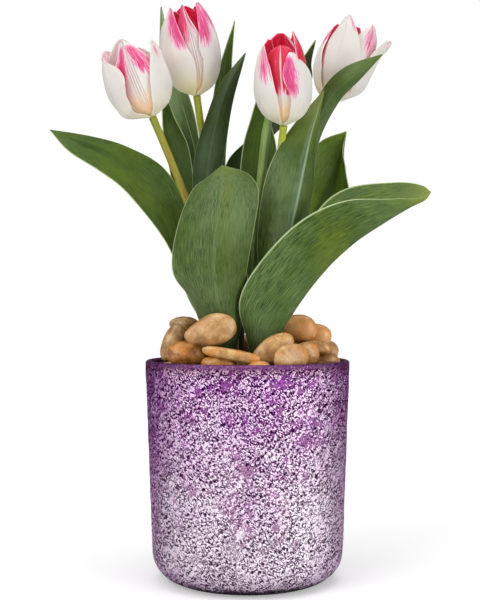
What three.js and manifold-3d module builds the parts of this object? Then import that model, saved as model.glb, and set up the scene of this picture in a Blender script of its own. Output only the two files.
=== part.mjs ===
// Four potted tulips in a mosaic glass cylinder, dressed with river pebbles.
// Millimetres, +Z up; the foot of the cylinder rests on z = 0 and its axis is the Z axis.
import * as THREE from "three";
import { mergeVertices } from "three/addons/utils/BufferGeometryUtils.js";
import Module from "manifold-3d";

const wasm = await Module();
wasm.setup();

// Driving dimensions
const potHeight = 136.2;
const rimRadius = 63.5; // a five inch cylinder
const lowerRadius = 59.3; // where the wall meets the rounded foot
const footCorner = 18.9;
const wallThickness = 3.6;
const floorThickness = 6;
const lipRadius = 1.8;
const soilTop = 121;
const soilGap = 0.7;
const pocketRadius = 14; // the open hole each bulb stands in
const bulbRadius = 13.2;
const bulbTop = 111.5;
const bulbLength = 30;
const stemRadius = 2.3;
const leafThickness = 1.1;
const leafEdge = 0.8;
const petalThickness = 1.0;
const petalEdge = 0.8;
const tuck = 0.8; // one edge of each petal lies over its neighbour

const degrees = Math.PI / 180;
const group = new THREE.Group();

function addPart(name, geometry, color, roughness = 0.6, metalness = 0) {
  const material = new THREE.MeshStandardMaterial({ color, roughness, metalness });
  const mesh = new THREE.Mesh(geometry, material);
  mesh.name = name;
  group.add(mesh);
  return mesh;
}

function toSolid(geometry) {
  const bare = new THREE.BufferGeometry();
  const source = geometry.index ? geometry.toNonIndexed() : geometry;
  bare.setAttribute("position", source.getAttribute("position"));
  const merged = mergeVertices(bare, 1e-4);
  return new wasm.Manifold(
    new wasm.Mesh({
      numProp: 3,
      vertProperties: merged.getAttribute("position").array,
      triVerts: new Uint32Array(merged.index.array),
    }),
  );
}

function toGeometry(solid) {
  const mesh = solid.getMesh();
  const geometry = new THREE.BufferGeometry();
  geometry.setAttribute("position", new THREE.BufferAttribute(mesh.vertProperties, 3));
  geometry.setIndex(new THREE.BufferAttribute(mesh.triVerts, 1));
  return geometry;
}

// A turned body about the Z axis from [radius, height] pairs that start and end on the axis.
function turned(profile, segments) {
  const points = profile.map(([radius, height]) => new THREE.Vector2(radius, height));
  return new THREE.LatheGeometry(points, segments).rotateX(Math.PI / 2);
}

function arc(cx, cy, radius, from, to, steps) {
  const points = [];
  for (let i = 0; i <= steps; i++) {
    const a = (from + ((to - from) * i) / steps) * degrees;
    points.push([cx + radius * Math.cos(a), cy + radius * Math.sin(a)]);
  }
  return points;
}

// The point at u, 0 to 1, of a smooth curve through the control points.
function along(points, u) {
  const last = points.length - 1;
  const k = Math.min(Math.floor(u * last), last - 1);
  const t = u * last - k;
  const b = points[k];
  const c = points[k + 1];
  const a = k > 0 ? points[k - 1] : b.map((value, i) => 2 * value - c[i]);
  const d = k + 2 <= last ? points[k + 2] : c.map((value, i) => 2 * value - b[i]);
  return b.map((value, i) => {
    const pull = (c[i] - a[i]) * t;
    const bend = (2 * a[i] - 5 * value + 4 * c[i] - d[i]) * t * t;
    const ease = (3 * value - a[i] - 3 * c[i] + d[i]) * t * t * t;
    return value + (pull + bend + ease) / 2;
  });
}

// A closed thin blade: surface(u, v) is its middle sheet, u along it and v from -1 to 1 across.
function blade(surface, stations, across, thickness) {
  const positions = [];
  const at = (u, v) => new THREE.Vector3(...surface(u, v));
  for (const side of [0.5, -0.5]) {
    for (const u of stations) {
      for (let j = 0; j <= across; j++) {
        const v = (2 * j) / across - 1;
        const du = at(Math.min(u + 0.01, 1), v).sub(at(Math.max(u - 0.01, 0), v));
        const dv = at(u, Math.min(v + 0.05, 1)).sub(at(u, Math.max(v - 0.05, -1)));
        const normal = du.cross(dv).normalize();
        const point = at(u, v).addScaledVector(normal, side * thickness(u, v));
        positions.push(point.x, point.y, point.z);
      }
    }
  }
  const row = across + 1;
  const back = stations.length * row;
  const index = [];
  const quad = (a, b, c, d) => index.push(a, b, c, a, c, d);
  for (let i = 0; i + 1 < stations.length; i++) {
    for (let j = 0; j < across; j++) {
      const a = i * row + j;
      quad(a, a + row, a + row + 1, a + 1);
      index.push(back + a, back + a + row + 1, back + a + row);
      index.push(back + a, back + a + 1, back + a + row + 1);
    }
    const left = i * row;
    const right = i * row + across;
    quad(left, back + left, back + left + row, left + row);
    quad(right, right + row, back + right + row, back + right);
  }
  for (let j = 0; j < across; j++) {
    const end = (stations.length - 1) * row + j;
    quad(j, j + 1, back + j + 1, back + j);
    quad(end, back + end, back + end + 1, end + 1);
  }
  const geometry = new THREE.BufferGeometry();
  geometry.setAttribute("position", new THREE.Float32BufferAttribute(positions, 3));
  geometry.setIndex(index);
  return geometry;
}

function evenSteps(count, first, last) {
  return Array.from({ length: count }, (_, i) => first + ((last - first) * i) / (count - 1));
}

// The glass cylinder: rounded foot, straight flared wall, fire-polished lip.
const innerRim = rimRadius - wallThickness;
const innerLower = lowerRadius - wallThickness;
const innerCorner = 14;
const potProfile = [
  [0, 0],
  ...arc(lowerRadius - footCorner, footCorner, footCorner, -90, 0, 6),
  [(lowerRadius + rimRadius) / 2, potHeight / 2],
  ...arc(rimRadius - lipRadius, potHeight - lipRadius, lipRadius, 0, 180, 4),
  ...arc(innerLower - innerCorner, floorThickness + innerCorner, innerCorner, 0, -90, 4),
  [0, floorThickness],
];
addPart("pot", turned(potProfile, 36), 0x8a5aa8, 0.3, 0.4);

// The soil fills the cylinder and has one open pocket for each bulb.
const plants = {
  front_left: { x: -21, y: -12 },
  back_left: { x: -10, y: 26 },
  front_right: { x: 14, y: -19 },
  back_right: { x: 26, y: 16 },
};
const innerRadiusAt = (z) => {
  const low = floorThickness + innerCorner;
  return innerLower + ((innerRim - innerLower) * Math.max(z - low, 0)) / (potHeight - lipRadius - low);
};
const soilRadius = innerRadiusAt(soilTop) - soilGap;
const soilCorner = innerCorner - soilGap;
const soilFloor = floorThickness + soilGap;
const soilProfile = [
  [0, soilFloor],
  ...arc(innerLower - innerCorner, soilFloor + soilCorner, soilCorner, -90, 0, 4),
  [soilRadius, soilTop - 3],
  [soilRadius - 8, soilTop - 1],
  [soilRadius - 26, soilTop],
  [0, soilTop + 1],
];
let soil = toSolid(turned(soilProfile, 28));
for (const { x, y } of Object.values(plants)) {
  const pocketProfile = [
    [0, bulbTop - bulbLength - soilGap],
    [pocketRadius, bulbTop - bulbLength - soilGap],
    [pocketRadius, soilTop + 5],
    [0, soilTop + 5],
  ];
  soil = soil.subtract(toSolid(turned(pocketProfile, 14).translate(x, y, 0)));
}
addPart("soil", toGeometry(soil), 0x3a2a1e, 0.95);

// Bulbs, their noses just under the top of the soil.
for (const [name, { x, y }] of Object.entries(plants)) {
  const bulbProfile = [
    [0, bulbTop - bulbLength],
    [0.45 * bulbRadius, bulbTop - bulbLength],
    [0.92 * bulbRadius, bulbTop - 0.8 * bulbLength],
    [bulbRadius, bulbTop - 0.62 * bulbLength],
    [0.86 * bulbRadius, bulbTop - 0.4 * bulbLength],
    [0.5 * bulbRadius, bulbTop - 0.17 * bulbLength],
    [0.3 * bulbRadius, bulbTop],
    [0, bulbTop],
  ];
  addPart("bulb_" + name, turned(bulbProfile, 12).translate(x, y, 0), 0x9a6234, 0.55);
}

// Each stem rises from its bulb to the foot of its bloom.
const stems = {
  front_left: [[-21, -12, 112.3], [-22, -14, 160], [-25, -15, 195], [-30, -16, 217], [-37, -16, 236],
    [-47, -17, 261], [-57.8, -18, 284.6]],
  back_left: [[-10, 26, 112.3], [-12, 24, 160], [-18, 21, 199], [-23, 19, 238], [-27, 15, 269],
    [-30, 12, 288], [-32, 10, 302.6]],
  front_right: [[14, -19, 112.3], [10, -12, 161], [9, -7, 204], [12, -7, 241], [16.6, -10.8, 265],
    [22, -17, 279.4]],
  back_right: [[26, 16, 112.3], [28, 18, 161], [31, 20, 206], [38, 24, 244], [46, 28, 274],
    [53.8, 30, 301.5]],
};
for (const [name, points] of Object.entries(stems)) {
  const path = new THREE.CatmullRomCurve3(points.map((point) => new THREE.Vector3(...point)));
  const round = new THREE.Shape().absarc(0, 0, stemRadius, 0, 2 * Math.PI);
  const settings = { steps: 12, curveSegments: 4, bevelEnabled: false, extrudePath: path };
  addPart("stem_" + name, new THREE.ExtrudeGeometry(round, settings), 0x93a83c, 0.5);
}

// Each leaf is a sheet through its left edge, its middle and its right edge, base to tip.
const leaves = {
  leaf_front_left_1: {
    left: [
      [-23, -15, 113], [-27, -22, 152], [-35, -26, 173], [-45, -29, 193], [-42, -31, 220], [-32, -33, 240],
      [-24, -34, 247], [-15, -38, 253],
    ],
    rib: [
      [-21, -18, 113], [-15, -31, 152], [-18, -38, 173], [-20, -43, 196], [-18, -46, 219], [-15, -44, 238],
      [-15, -41, 246], [-15, -38, 253],
    ],
    right: [
      [-18, -16, 113], [-5, -24, 153], [-5, -29, 174], [0, -34, 195], [4, -36, 220], [6, -36, 239],
      [0, -36, 248], [-15, -38, 253],
    ],
  },
  leaf_front_left_2: {
    left: [
      [-25, -13, 113], [-25, -17, 153], [-35, -21, 178], [-51, -20, 208], [-72, -22, 236], [-89, -22, 252],
      [-107, -22, 264], [-120, -20, 277],
    ],
    rib: [
      [-26, -10, 113], [-27, -11, 154], [-35, -14, 186], [-48, -14, 218], [-63, -14, 242], [-82, -15, 260],
      [-101, -17, 269], [-120, -20, 277],
    ],
    right: [
      [-24, -8, 113], [-23, -6, 155], [-29, -6, 197], [-38, -6, 230], [-52, -8, 254], [-74, -12, 267],
      [-95, -16, 274], [-120, -20, 277],
    ],
  },
  leaf_front_left_3: {
    left: [
      [-24, -7, 113], [-31, 1, 173], [-43, 8, 218], [-48, 9, 249], [-52, 10, 271], [-54, 11, 290],
      [-54, 12, 311],
    ],
    rib: [
      [-21, -5, 113], [-28, 4, 173], [-35, 12, 218], [-41, 13, 250], [-46, 14, 272], [-51, 14, 291],
      [-54, 12, 311],
    ],
    right: [
      [-18, -8, 113], [-27, 2, 174], [-31, 8, 219], [-34, 9, 249], [-38, 9, 272], [-47, 10, 291],
      [-54, 12, 311],
    ],
  },
  leaf_back_left_1: {
    left: [
      [-13, 22, 113], [-21, 14, 173], [-26, 14, 217], [-32, 16, 263], [-41, 22, 297], [-51, 36, 335],
      [-57, 44, 369],
    ],
    rib: [
      [-14, 25, 113], [-26, 22, 173], [-33, 22, 218], [-41, 24, 261], [-50, 28, 297], [-57, 40, 333],
      [-57, 44, 369],
    ],
    right: [
      [-14, 29, 113], [-22, 31, 173], [-26, 34, 221], [-30, 36, 265], [-36, 38, 301], [-50, 46, 339],
      [-57, 44, 369],
    ],
  },
  leaf_back_left_2: {
    left: [
      [-12, 31, 113], [-20, 38, 173], [-26, 42, 226], [-26, 44, 273], [-22, 44, 310], [-17, 42, 332],
      [-8, 38, 358],
    ],
    rib: [
      [-10, 33, 113], [-15, 42, 173], [-21, 46, 227], [-21, 48, 274], [-17, 47, 311], [-14, 44, 333],
      [-8, 38, 358],
    ],
    right: [
      [-8, 32, 113], [-9, 37, 173], [-14, 40, 226], [-14, 42, 273], [-10, 43, 309], [-10, 41, 332],
      [-8, 38, 358],
    ],
  },
  leaf_back_left_3: {
    left: [
      [-12, 20, 113], [-22, 8, 173], [-32, 0, 211], [-34, 0, 243], [-32, 1, 268], [-25, 4, 290],
      [-16, 6, 311], [-1, 8, 330],
    ],
    rib: [
      [-10, 20, 113], [-18, 3, 173], [-24, -5, 211], [-26, -5, 243], [-23, -3, 268], [-18, -1, 290],
      [-11, 3, 310], [-1, 8, 330],
    ],
    right: [
      [-8, 20, 113], [-12, 9, 173], [-16, 6, 211], [-17, 5, 244], [-14, 6, 269], [-11, 7, 290],
      [-6, 8, 311], [-1, 8, 330],
    ],
  },
  leaf_back_left_4: {
    left: [
      [-6, 24, 113], [-6, 26, 173], [-10, 30, 224], [-14, 36, 262], [10, 40, 287], [32, 42, 316],
      [37, 44, 333], [46, 46, 347],
    ],
    rib: [
      [-5, 27, 113], [-1, 34, 173], [0, 40, 230], [2, 44, 266], [21, 46, 295], [37, 46, 321],
      [40, 46, 335], [46, 46, 347],
    ],
    right: [
      [-6, 32, 113], [-3, 44, 174], [1, 50, 232], [10, 52, 273], [30, 52, 297], [43, 50, 319],
      [43, 48, 332], [46, 46, 347],
    ],
  },
  leaf_front_right_1: {
    left: [
      [9, -25, 113], [0, -31, 148], [-5, -34, 173], [8, -37, 197], [31, -38, 220], [57, -38, 232],
      [83, -38, 233], [100, -36, 233], [109, -32, 238],
    ],
    rib: [
      [13, -26, 113], [11, -36, 143], [23, -37, 164], [44, -36, 190], [62, -36, 207], [81, -36, 220],
      [96, -36, 229], [102, -35, 232], [109, -32, 238],
    ],
    right: [
      [19, -24, 113], [18, -33, 147], [22, -31, 172], [32, -25, 205], [44, -18, 229], [63, -12, 242],
      [90, -18, 245], [103, -26, 243], [109, -32, 238],
    ],
  },
  leaf_front_right_2: {
    left: [
      [10, -21, 113], [9, -22, 155], [7, -20, 186], [6, -20, 210], [8, -18, 234], [14, -17, 256],
      [26, -12, 278], [48, 0, 305],
    ],
    rib: [
      [14, -23, 113], [16, -27, 155], [22, -26, 185], [25, -26, 211], [30, -25, 235], [34, -22, 254],
      [39, -14, 276], [48, 0, 305],
    ],
    right: [
      [18, -21, 113], [22, -18, 155], [29, -11, 189], [32, -9, 215], [39, -11, 237], [41, -10, 255],
      [42, -6, 274], [48, 0, 305],
    ],
  },
  leaf_front_right_3: {
    left: [
      [11, -15, 113], [3, -8, 173], [3, -5, 211], [5, -3, 236], [7, 0, 258], [10, 2, 283],
      [17, 4, 307],
    ],
    rib: [
      [12, -13, 113], [5, -6, 173], [5, -6, 211], [7, -5, 236], [10, -3, 257], [13, -1, 283],
      [17, 4, 307],
    ],
    right: [
      [13, -12, 113], [8, -5, 173], [8, -3, 211], [10, 0, 236], [12, 2, 258], [15, 4, 283],
      [17, 4, 307],
    ],
  },
  leaf_back_right_1: {
    left: [
      [23, 11, 113], [20, 4, 161], [21, 2, 205], [28, 6, 244], [36, 7, 277], [46, 3, 303],
      [60, -3, 318], [84, -6, 326],
    ],
    rib: [
      [25, 10, 113], [24, 1, 161], [29, -1, 205], [35, 5, 241], [41, 7, 274], [51, 2, 299],
      [65, -5, 312], [84, -6, 326],
    ],
    right: [
      [29, 14, 113], [28, 8, 161], [35, 5, 204], [41, 10, 238], [45, 11, 273], [57, 6, 297],
      [70, -1, 311], [84, -6, 326],
    ],
  },
  leaf_back_right_2: {
    left: [
      [23, 22, 113], [20, 32, 160], [22, 36, 198], [28, 38, 235], [38, 38, 264], [49, 36, 278],
      [65, 34, 284],
    ],
    rib: [
      [30, 21, 113], [26, 34, 160], [35, 42, 201], [49, 44, 236], [56, 42, 258], [61, 38, 274],
      [65, 34, 284],
    ],
    right: [
      [31, 18, 113], [26, 24, 159], [45, 22, 198], [66, 26, 230], [64, 30, 257], [63, 33, 272],
      [65, 34, 284],
    ],
  },
  leaf_back_right_3: {
    left: [
      [22, 12, 113], [3, 10, 173], [-3, 12, 212], [-5, 14, 244], [-3, 16, 269], [2, 18, 289],
      [8, 22, 309],
    ],
    rib: [
      [20, 17, 113], [10, 20, 173], [7, 22, 212], [7, 24, 244], [9, 25, 270], [9, 25, 290],
      [8, 22, 309],
    ],
    right: [
      [21, 20, 113], [17, 24, 174], [17, 24, 212], [18, 24, 244], [19, 24, 270], [15, 24, 288],
      [8, 22, 309],
    ],
  },
};

function leafSheet({ left, rib, right }) {
  return (u, v) => {
    const a = along(left, u);
    const b = along(rib, u);
    const c = along(right, u);
    return b.map((middle, i) => middle + ((c[i] - a[i]) * v) / 2 + ((a[i] + c[i]) / 2 - middle) * v * v);
  };
}

for (const [name, leaf] of Object.entries(leaves)) {
  const stations = evenSteps(12, 0, 0.995);
  const thickness = (u, v) => leafThickness + (leafEdge - leafThickness) * v * v;
  addPart(name, blade(leafSheet(leaf), stations, 4, thickness), 0x4f7a45, 0.45);
}

// Blooms: three outer and three inner petals on one receptacle, seen along the bloom's own axis.
// turn is where a petal faces, tip how far its point stands from the axis, skew how it twists.
const blooms = {
  front_left: {
    base: [-58, -18, 285], lean: [-21, -4], bulge: 18.6,
    outer: [
      { turn: -152, tip: 18, length: 40, bulge: 20.8 },
      { turn: -26, tip: 18, length: 42 },
      { turn: 95, tip: 12, length: 51 },
    ],
    inner: [
      { turn: -88, tip: 5, length: 46 },
      { turn: 45, tip: 8, length: 42 },
      { turn: 165, tip: 16, length: 46 },
    ],
  },
  back_left: {
    base: [-32, 10, 303], lean: [-8.5, 0], bulge: 18.4,
    outer: [
      { turn: -148, tip: 11, length: 54, bulge: 19.4 },
      { turn: -30, tip: 10, length: 56.5 },
      { turn: 90, tip: 5, length: 59, full: 0.9 },
    ],
    inner: [
      { turn: -80, tip: 6, length: 50, skew: -40 },
      { turn: 30, tip: 8, length: 54, full: 0.9 },
      { turn: 150, tip: 8, length: 53 },
    ],
  },
  front_right: {
    base: [22, -17, 280], lean: [-1, -6], bulge: 17,
    outer: [
      { turn: -148, tip: 13.5, length: 46, bulge: 18 },
      { turn: -38, tip: 6, length: 42 },
      { turn: 100, tip: 6, length: 54, full: 0.95 },
    ],
    inner: [
      { turn: -95, tip: 6, length: 45, full: 0.85 },
      { turn: 30, tip: 7, length: 54 },
      { turn: 150, tip: 9, length: 48 },
    ],
  },
  back_right: {
    base: [54, 30, 302], lean: [22, 0], bulge: 17.6,
    outer: [
      { turn: -105, tip: 14, length: 55, skew: -30, full: 0.75 },
      { turn: 0, tip: 23, length: 51, bulge: 19.6 },
      { turn: 125, tip: 12, length: 48 },
    ],
    inner: [
      { turn: -165, tip: 13, length: 47 },
      { turn: -45, tip: 10, length: 53 },
      { turn: 105, tip: 5, length: 54 },
    ],
  },
};

function petalSheet({ turn, tip, length, bulge, width, rise, skew = 0, full = 0.64 }) {
  const rib = [
    [1.6, 0],
    [0.62 * bulge, 0.08 * length],
    [0.91 * bulge, 0.26 * length],
    [bulge, 0.48 * length],
    [0.7 * bulge + 0.3 * tip, 0.76 * length],
    [tip, length],
  ];
  const halfWidths = [[1.6], [0.7 * width], [width], [0.95 * width], [full * width], [0.6]];
  return (u, v) => {
    const [radius, height] = along(rib, u);
    const [half] = along(halfWidths, u);
    const curl = Math.max(radius, 0.6 * bulge * Math.min(1, 3 * u), 1.6);
    const angle = (v * half) / curl;
    const facing = (turn + skew * u * u) * degrees;
    const out = radius + tuck * v - curl + curl * Math.cos(angle);
    const side = curl * Math.sin(angle);
    return [
      out * Math.cos(facing) - side * Math.sin(facing),
      out * Math.sin(facing) + side * Math.cos(facing),
      height + rise,
    ];
  };
}

function placeBloom(geometry, { base, lean }) {
  geometry.rotateX(-lean[1] * degrees);
  geometry.rotateY(lean[0] * degrees);
  return geometry.translate(...base);
}

// Joins overlapping solids into one and fills any hollow the joining closes off.
function fused(solids) {
  const joined = solids.reduce((sum, solid) => sum.add(solid));
  return joined.decompose().find((body) => body.volume() > 0);
}

for (const [name, bloom] of Object.entries(blooms)) {
  const solids = [toSolid(turned([[0, 1], [2.7, 1], [5.2, 2.4], [6.8, 4.6], [0, 6.2]], 9))];
  const thickness = (u, v) => petalThickness + (petalEdge - petalThickness) * v * v;
  for (const [whorl, inset, rise] of [["outer", 0, 1.6], ["inner", 2.7, 3.2]]) {
    for (const petal of bloom[whorl]) {
      const bulge = (petal.bulge ?? bloom.bulge) - inset;
      const sheet = petalSheet({ ...petal, bulge, rise, width: 0.98 * bloom.bulge });
      solids.push(toSolid(blade(sheet, evenSteps(8, 0.04, 0.995), 4, thickness)));
    }
  }
  addPart("bloom_" + name, placeBloom(toGeometry(fused(solids)), bloom), 0xf3e6e4, 0.5);
}

// Inside each bloom a pistil with six stamens stands on the receptacle.
for (const [name, bloom] of Object.entries(blooms)) {
  const floor = 6.6;
  const pistil = [[0, floor], [4.6, floor], [2.2, floor + 2], [2.4, floor + 12], [3.4, floor + 14],
    [0, floor + 15]];
  const solids = [toSolid(turned(pistil, 6))];
  for (let i = 0; i < 6; i++) {
    const stamen = turned([[0, 0], [0.8, 0], [1.4, 9], [0, 15]], 4);
    stamen.rotateY(14 * degrees).translate(3.6, 0, floor + 0.5).rotateZ(i * 60 * degrees);
    solids.push(toSolid(stamen));
  }
  addPart("heart_" + name, placeBloom(toGeometry(fused(solids)), bloom), 0xc9b25a, 0.7);
}

// River pebbles: centre, half length, half depth, half height, then turn about Z and tilt in degrees.
const pebbles = [
  [-40, 0, 158.4, 9.4, 5.6, 5.2, 0, 5],
  [-22.4, -41, 155, 16.8, 6.6, 9.2, 0, -14],
  [-46.6, -16, 146.5, 7, 6.5, 13, 0, 22],
  [-36.8, -31, 141.6, 11.2, 7, 7.6, 0, 4],
  [-9.9, -51, 141.6, 17, 4.8, 4.6, -2, 10],
  [-18.6, -47.5, 132.6, 9.5, 7, 5.5, 0, 0],
  [-3.5, -50, 130.4, 6, 6, 4.4, 0, 0],
  [7.2, -54, 132.8, 6.2, 4.5, 3.8, 0, 0],
  [14.8, -42.4, 145.6, 13.4, 4.2, 7.8, 5, -42],
  [26, -49, 140.6, 12.6, 4, 8.2, 28, -8],
  [34.6, -32, 140.6, 7.4, 6, 7.6, 20, 0],
  [31.4, -9, 156.1, 11, 6, 9, 0, 0],
  [44.8, 1, 152.8, 9, 6, 6.6, 0, 12],
  [44.5, -16, 144.6, 9, 6, 4.6, 0, 5],
  [48, -11, 135.6, 9.2, 7, 5.2, 0, 5],
  [-46, 8, 128.5, 12, 8, 8, 80, 0],
  [-39, -3, 142.6, 8, 6.5, 9.4, 0, 0],
  [-38, 33, 128.5, 13, 8.5, 8.5, 40, 0],
  [-18, 48, 128.5, 12, 8.5, 8.5, 18, 0],
  [8, 50, 129, 13, 8.5, 8.5, -8, 0],
  [32, 39, 129, 12, 8.5, 8.5, -38, 0],
  [47, 17, 128, 13, 8, 8.5, -70, 0],
  [-49, 22, 141, 12, 8, 8, 65, 6],
  [-29, 42, 143.5, 13, 8, 8, 35, 6],
  [-6, 50, 143, 13, 8, 8, 6, 6],
  [20, 47, 143.5, 13, 8, 8, -22, 6],
  [40, 30, 143, 12, 8, 8, -55, 6],
  [51, 10, 141.5, 10, 6.5, 6.5, -80, 6],
  [1, 4, 130, 10, 10, 8.5, 0, 0],
];

// A unit ball worn into a pebble: a little boxy, with shallow swells of its own.
function pebble(seed, detail) {
  const geometry = new THREE.IcosahedronGeometry(1, detail);
  const position = geometry.getAttribute("position");
  for (let i = 0; i < position.count; i++) {
    const [x, y, z] = [position.getX(i), position.getY(i), position.getZ(i)];
    const swell = Math.sin(2.3 * x + seed) + Math.sin(2.7 * y + 1.7 * seed) + Math.sin(2.1 * z + 2.3 * seed);
    const boxy = Math.pow(x ** 4 + y ** 4 + z ** 4, -0.1);
    const scale = boxy * (0.94 + 0.05 * swell);
    position.setXYZ(i, x * scale, y * scale, z * scale);
  }
  return geometry;
}

pebbles.forEach(([x, y, z, length, depth, height, turn, tilt], i) => {
  const geometry = pebble(i + 1, i < 15 ? 2 : 1);
  geometry.scale(length, depth, height).rotateY(tilt * degrees).rotateZ(turn * degrees);
  const name = "pebble_" + String(i + 1).padStart(2, "0");
  addPart(name, geometry.translate(x, y, z), 0xc89a62, 0.4);
});

export default group;
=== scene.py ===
import bpy
import bmesh
import math
import numpy as np
from mathutils import Vector, Matrix, noise


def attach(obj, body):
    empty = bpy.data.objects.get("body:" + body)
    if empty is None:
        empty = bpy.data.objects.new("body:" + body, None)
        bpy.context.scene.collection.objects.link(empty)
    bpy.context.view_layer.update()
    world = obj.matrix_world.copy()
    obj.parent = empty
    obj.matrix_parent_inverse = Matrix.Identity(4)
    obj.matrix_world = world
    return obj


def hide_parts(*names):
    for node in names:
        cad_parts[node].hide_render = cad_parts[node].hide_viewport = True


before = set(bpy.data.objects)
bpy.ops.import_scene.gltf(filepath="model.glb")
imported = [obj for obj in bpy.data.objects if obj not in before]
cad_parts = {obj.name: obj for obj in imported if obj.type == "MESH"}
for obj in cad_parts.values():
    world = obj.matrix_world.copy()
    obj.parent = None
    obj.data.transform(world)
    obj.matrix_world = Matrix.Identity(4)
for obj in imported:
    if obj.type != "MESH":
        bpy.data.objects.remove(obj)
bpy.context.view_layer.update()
mm = 0.001
sheetEnd = 0.995  # a leaf or petal stops just short of the tip of its lines
noise.seed_set(5)  # without it, noise_vector changes from run to run
print("frame loaded,", len(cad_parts), "nodes")


# camera, room and floor

view = {
    "place": (-4.66, -700, 173.4),  # mm, level with the leaves
    "lens": 67.2,
}

light = {
    "ambient": 0.4,
    "behind": 0.12,
    "backdrop": 1.02,
    "floorGlow": (0.34, 0.75),
    "floorDark": (0.78, 0.78, 0.78),
    "floorPale": (0.84, 0.84, 0.84),
    "floorRadius": 1300,
    "left": {"place": (-620, -640, 640), "aim": (0, 0, 170), "size": (700, 900), "watts": 5.2},
    "right": {"place": (700, -520, 240), "aim": (0, 0, 100), "size": (520, 700), "watts": 3.6},
    "top": {"place": (60, 60, 1250), "aim": (0, 0, 0), "size": (900, 900), "watts": 7.4},
}


def makeCamera():
    camera = bpy.data.objects.new("camera", bpy.data.cameras.new("camera"))
    bpy.context.collection.objects.link(camera)
    camera.location = Vector(view["place"]) * mm
    camera.rotation_euler = (math.radians(90), 0, 0)
    camera.data.sensor_width = 36
    camera.data.lens = view["lens"]
    camera.data.clip_start = 0.01
    bpy.context.scene.camera = camera


def makeWorld():
    world = bpy.data.worlds.new("studio")
    world.use_nodes = True
    bpy.context.scene.world = world
    canvas["tree"] = world.node_tree
    background = world.node_tree.nodes["Background"].inputs
    feed(background["Color"], (1, 1, 1))
    path = put("LightPath", output="Is Camera Ray")
    toBack = parts(put("TexCoord", output="Generated"))[1]
    room = remap(toBack, -0.1, 0.7, light["ambient"], light["behind"])
    white = path * light["backdrop"]  # the backdrop looks white, the room is softer
    feed(background["Strength"], white + (1.0 - path) * room)


def makeLight(name):
    spec = light[name]
    lamp = bpy.data.lights.new("lamp." + name, "AREA")
    lamp.shape = "RECTANGLE"
    lamp.size = spec["size"][0] * mm
    lamp.size_y = spec["size"][1] * mm
    lamp.energy = spec["watts"]
    thing = bpy.data.objects.new("lamp." + name, lamp)
    bpy.context.collection.objects.link(thing)
    thing.location = Vector(spec["place"]) * mm
    aim = (Vector(spec["aim"]) - Vector(spec["place"])).normalized()
    thing.rotation_euler = aim.to_track_quat("-Z", "Y").to_euler()


# helpers for materials: a wire is the output of a node, and sums of wires make the nodes of the sum

canvas = {"tree": None}  # where the next nodes go


class Wire:
    def __init__(self, socket):
        self.socket = socket

    def __add__(self, other):
        return maths("ADD", self, other)

    def __sub__(self, other):
        return maths("SUBTRACT", self, other)

    def __rsub__(self, other):
        return maths("SUBTRACT", other, self)

    def __mul__(self, other):
        return maths("MULTIPLY", self, other)

    def __abs__(self):
        return maths("ABSOLUTE", self)


def feed(socket, value):
    if isinstance(value, Wire):
        canvas["tree"].links.new(value.socket, socket)
    elif socket.type == "RGBA":
        socket.default_value = (*value, 1)
    else:
        socket.default_value = value


def put(kind, inputs=None, output=0, **settings):
    made = canvas["tree"].nodes.new("ShaderNode" + kind)
    for key, value in settings.items():
        setattr(made, key, value)
    for key, value in (inputs or {}).items():
        feed(made.inputs[key], value)
    if isinstance(output, tuple):
        return [Wire(made.outputs[key]) for key in output]
    return Wire(made.outputs[output])


def maths(operation, a, b=0.0, clamp=False):
    return put("Math", {0: a, 1: b}, operation=operation, use_clamp=clamp)


def vectorMaths(operation, a, b=(0, 0, 0), scale=1.0, output=0):
    return put("VectorMath", {0: a, 1: b, 3: scale}, output, operation=operation)


def parts(vector):
    return put("SeparateXYZ", {0: vector}, (0, 1, 2))


def objectPlace():
    return put("TexCoord", output="Object")


def remap(value, low, high, toLow=0.0, toHigh=1.0):
    inputs = {"Value": value, "From Min": low, "From Max": high, "To Min": toLow, "To Max": toHigh}
    return put("MapRange", inputs, interpolation_type="SMOOTHSTEP")


def mixColor(factor, a, b, mode="MIX"):
    return put("Mix", {0: factor, 6: a, 7: b}, 2, data_type="RGBA", blend_type=mode)


def ramp(factor, stops):
    color = put("ValToRGB", {0: factor})
    band = color.socket.node.color_ramp
    while len(band.elements) < len(stops):
        band.elements.new(1.0)
    for element, (place, shade) in zip(band.elements, stops):
        element.position = place
        element.color = (*shade, 1)
    return color


def noiseAt(vector, scale, detail=3.0, roughness=0.55, output="Fac"):
    inputs = {"Vector": vector, "Scale": scale, "Detail": detail, "Roughness": roughness}
    return put("TexNoise", inputs, output)


def stretched(vector, scale):
    return put("Mapping", {"Vector": vector, "Scale": scale})


def newMaterial(name, **fixed):
    material = bpy.data.materials.new(name)
    material.use_nodes = True
    canvas["tree"] = material.node_tree
    surface = canvas["tree"].nodes["Principled BSDF"].inputs
    for key, value in fixed.items():
        feed(surface[key.replace("_", " ")], value)
    return material, surface


def finishMaterial(surface, color, height=None, strength=0.3, depth=0.3):
    feed(surface["Base Color"], color)
    if height is not None:
        bump = {"Height": height, "Strength": strength, "Distance": depth * mm}
        feed(surface["Normal"], put("Bump", bump))


# helpers for meshes, in mm until the object is made

def ease(x, low, high):
    t = np.clip((np.asarray(x, float) - low) / (high - low), 0, 1)
    return t * t * (3 - 2 * t)


def arc(cx, cy, radius, first, last, steps):
    angles = np.radians(np.linspace(first, last, steps + 1))
    return [(cx + radius * math.cos(a), cy + radius * math.sin(a)) for a in angles]


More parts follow.
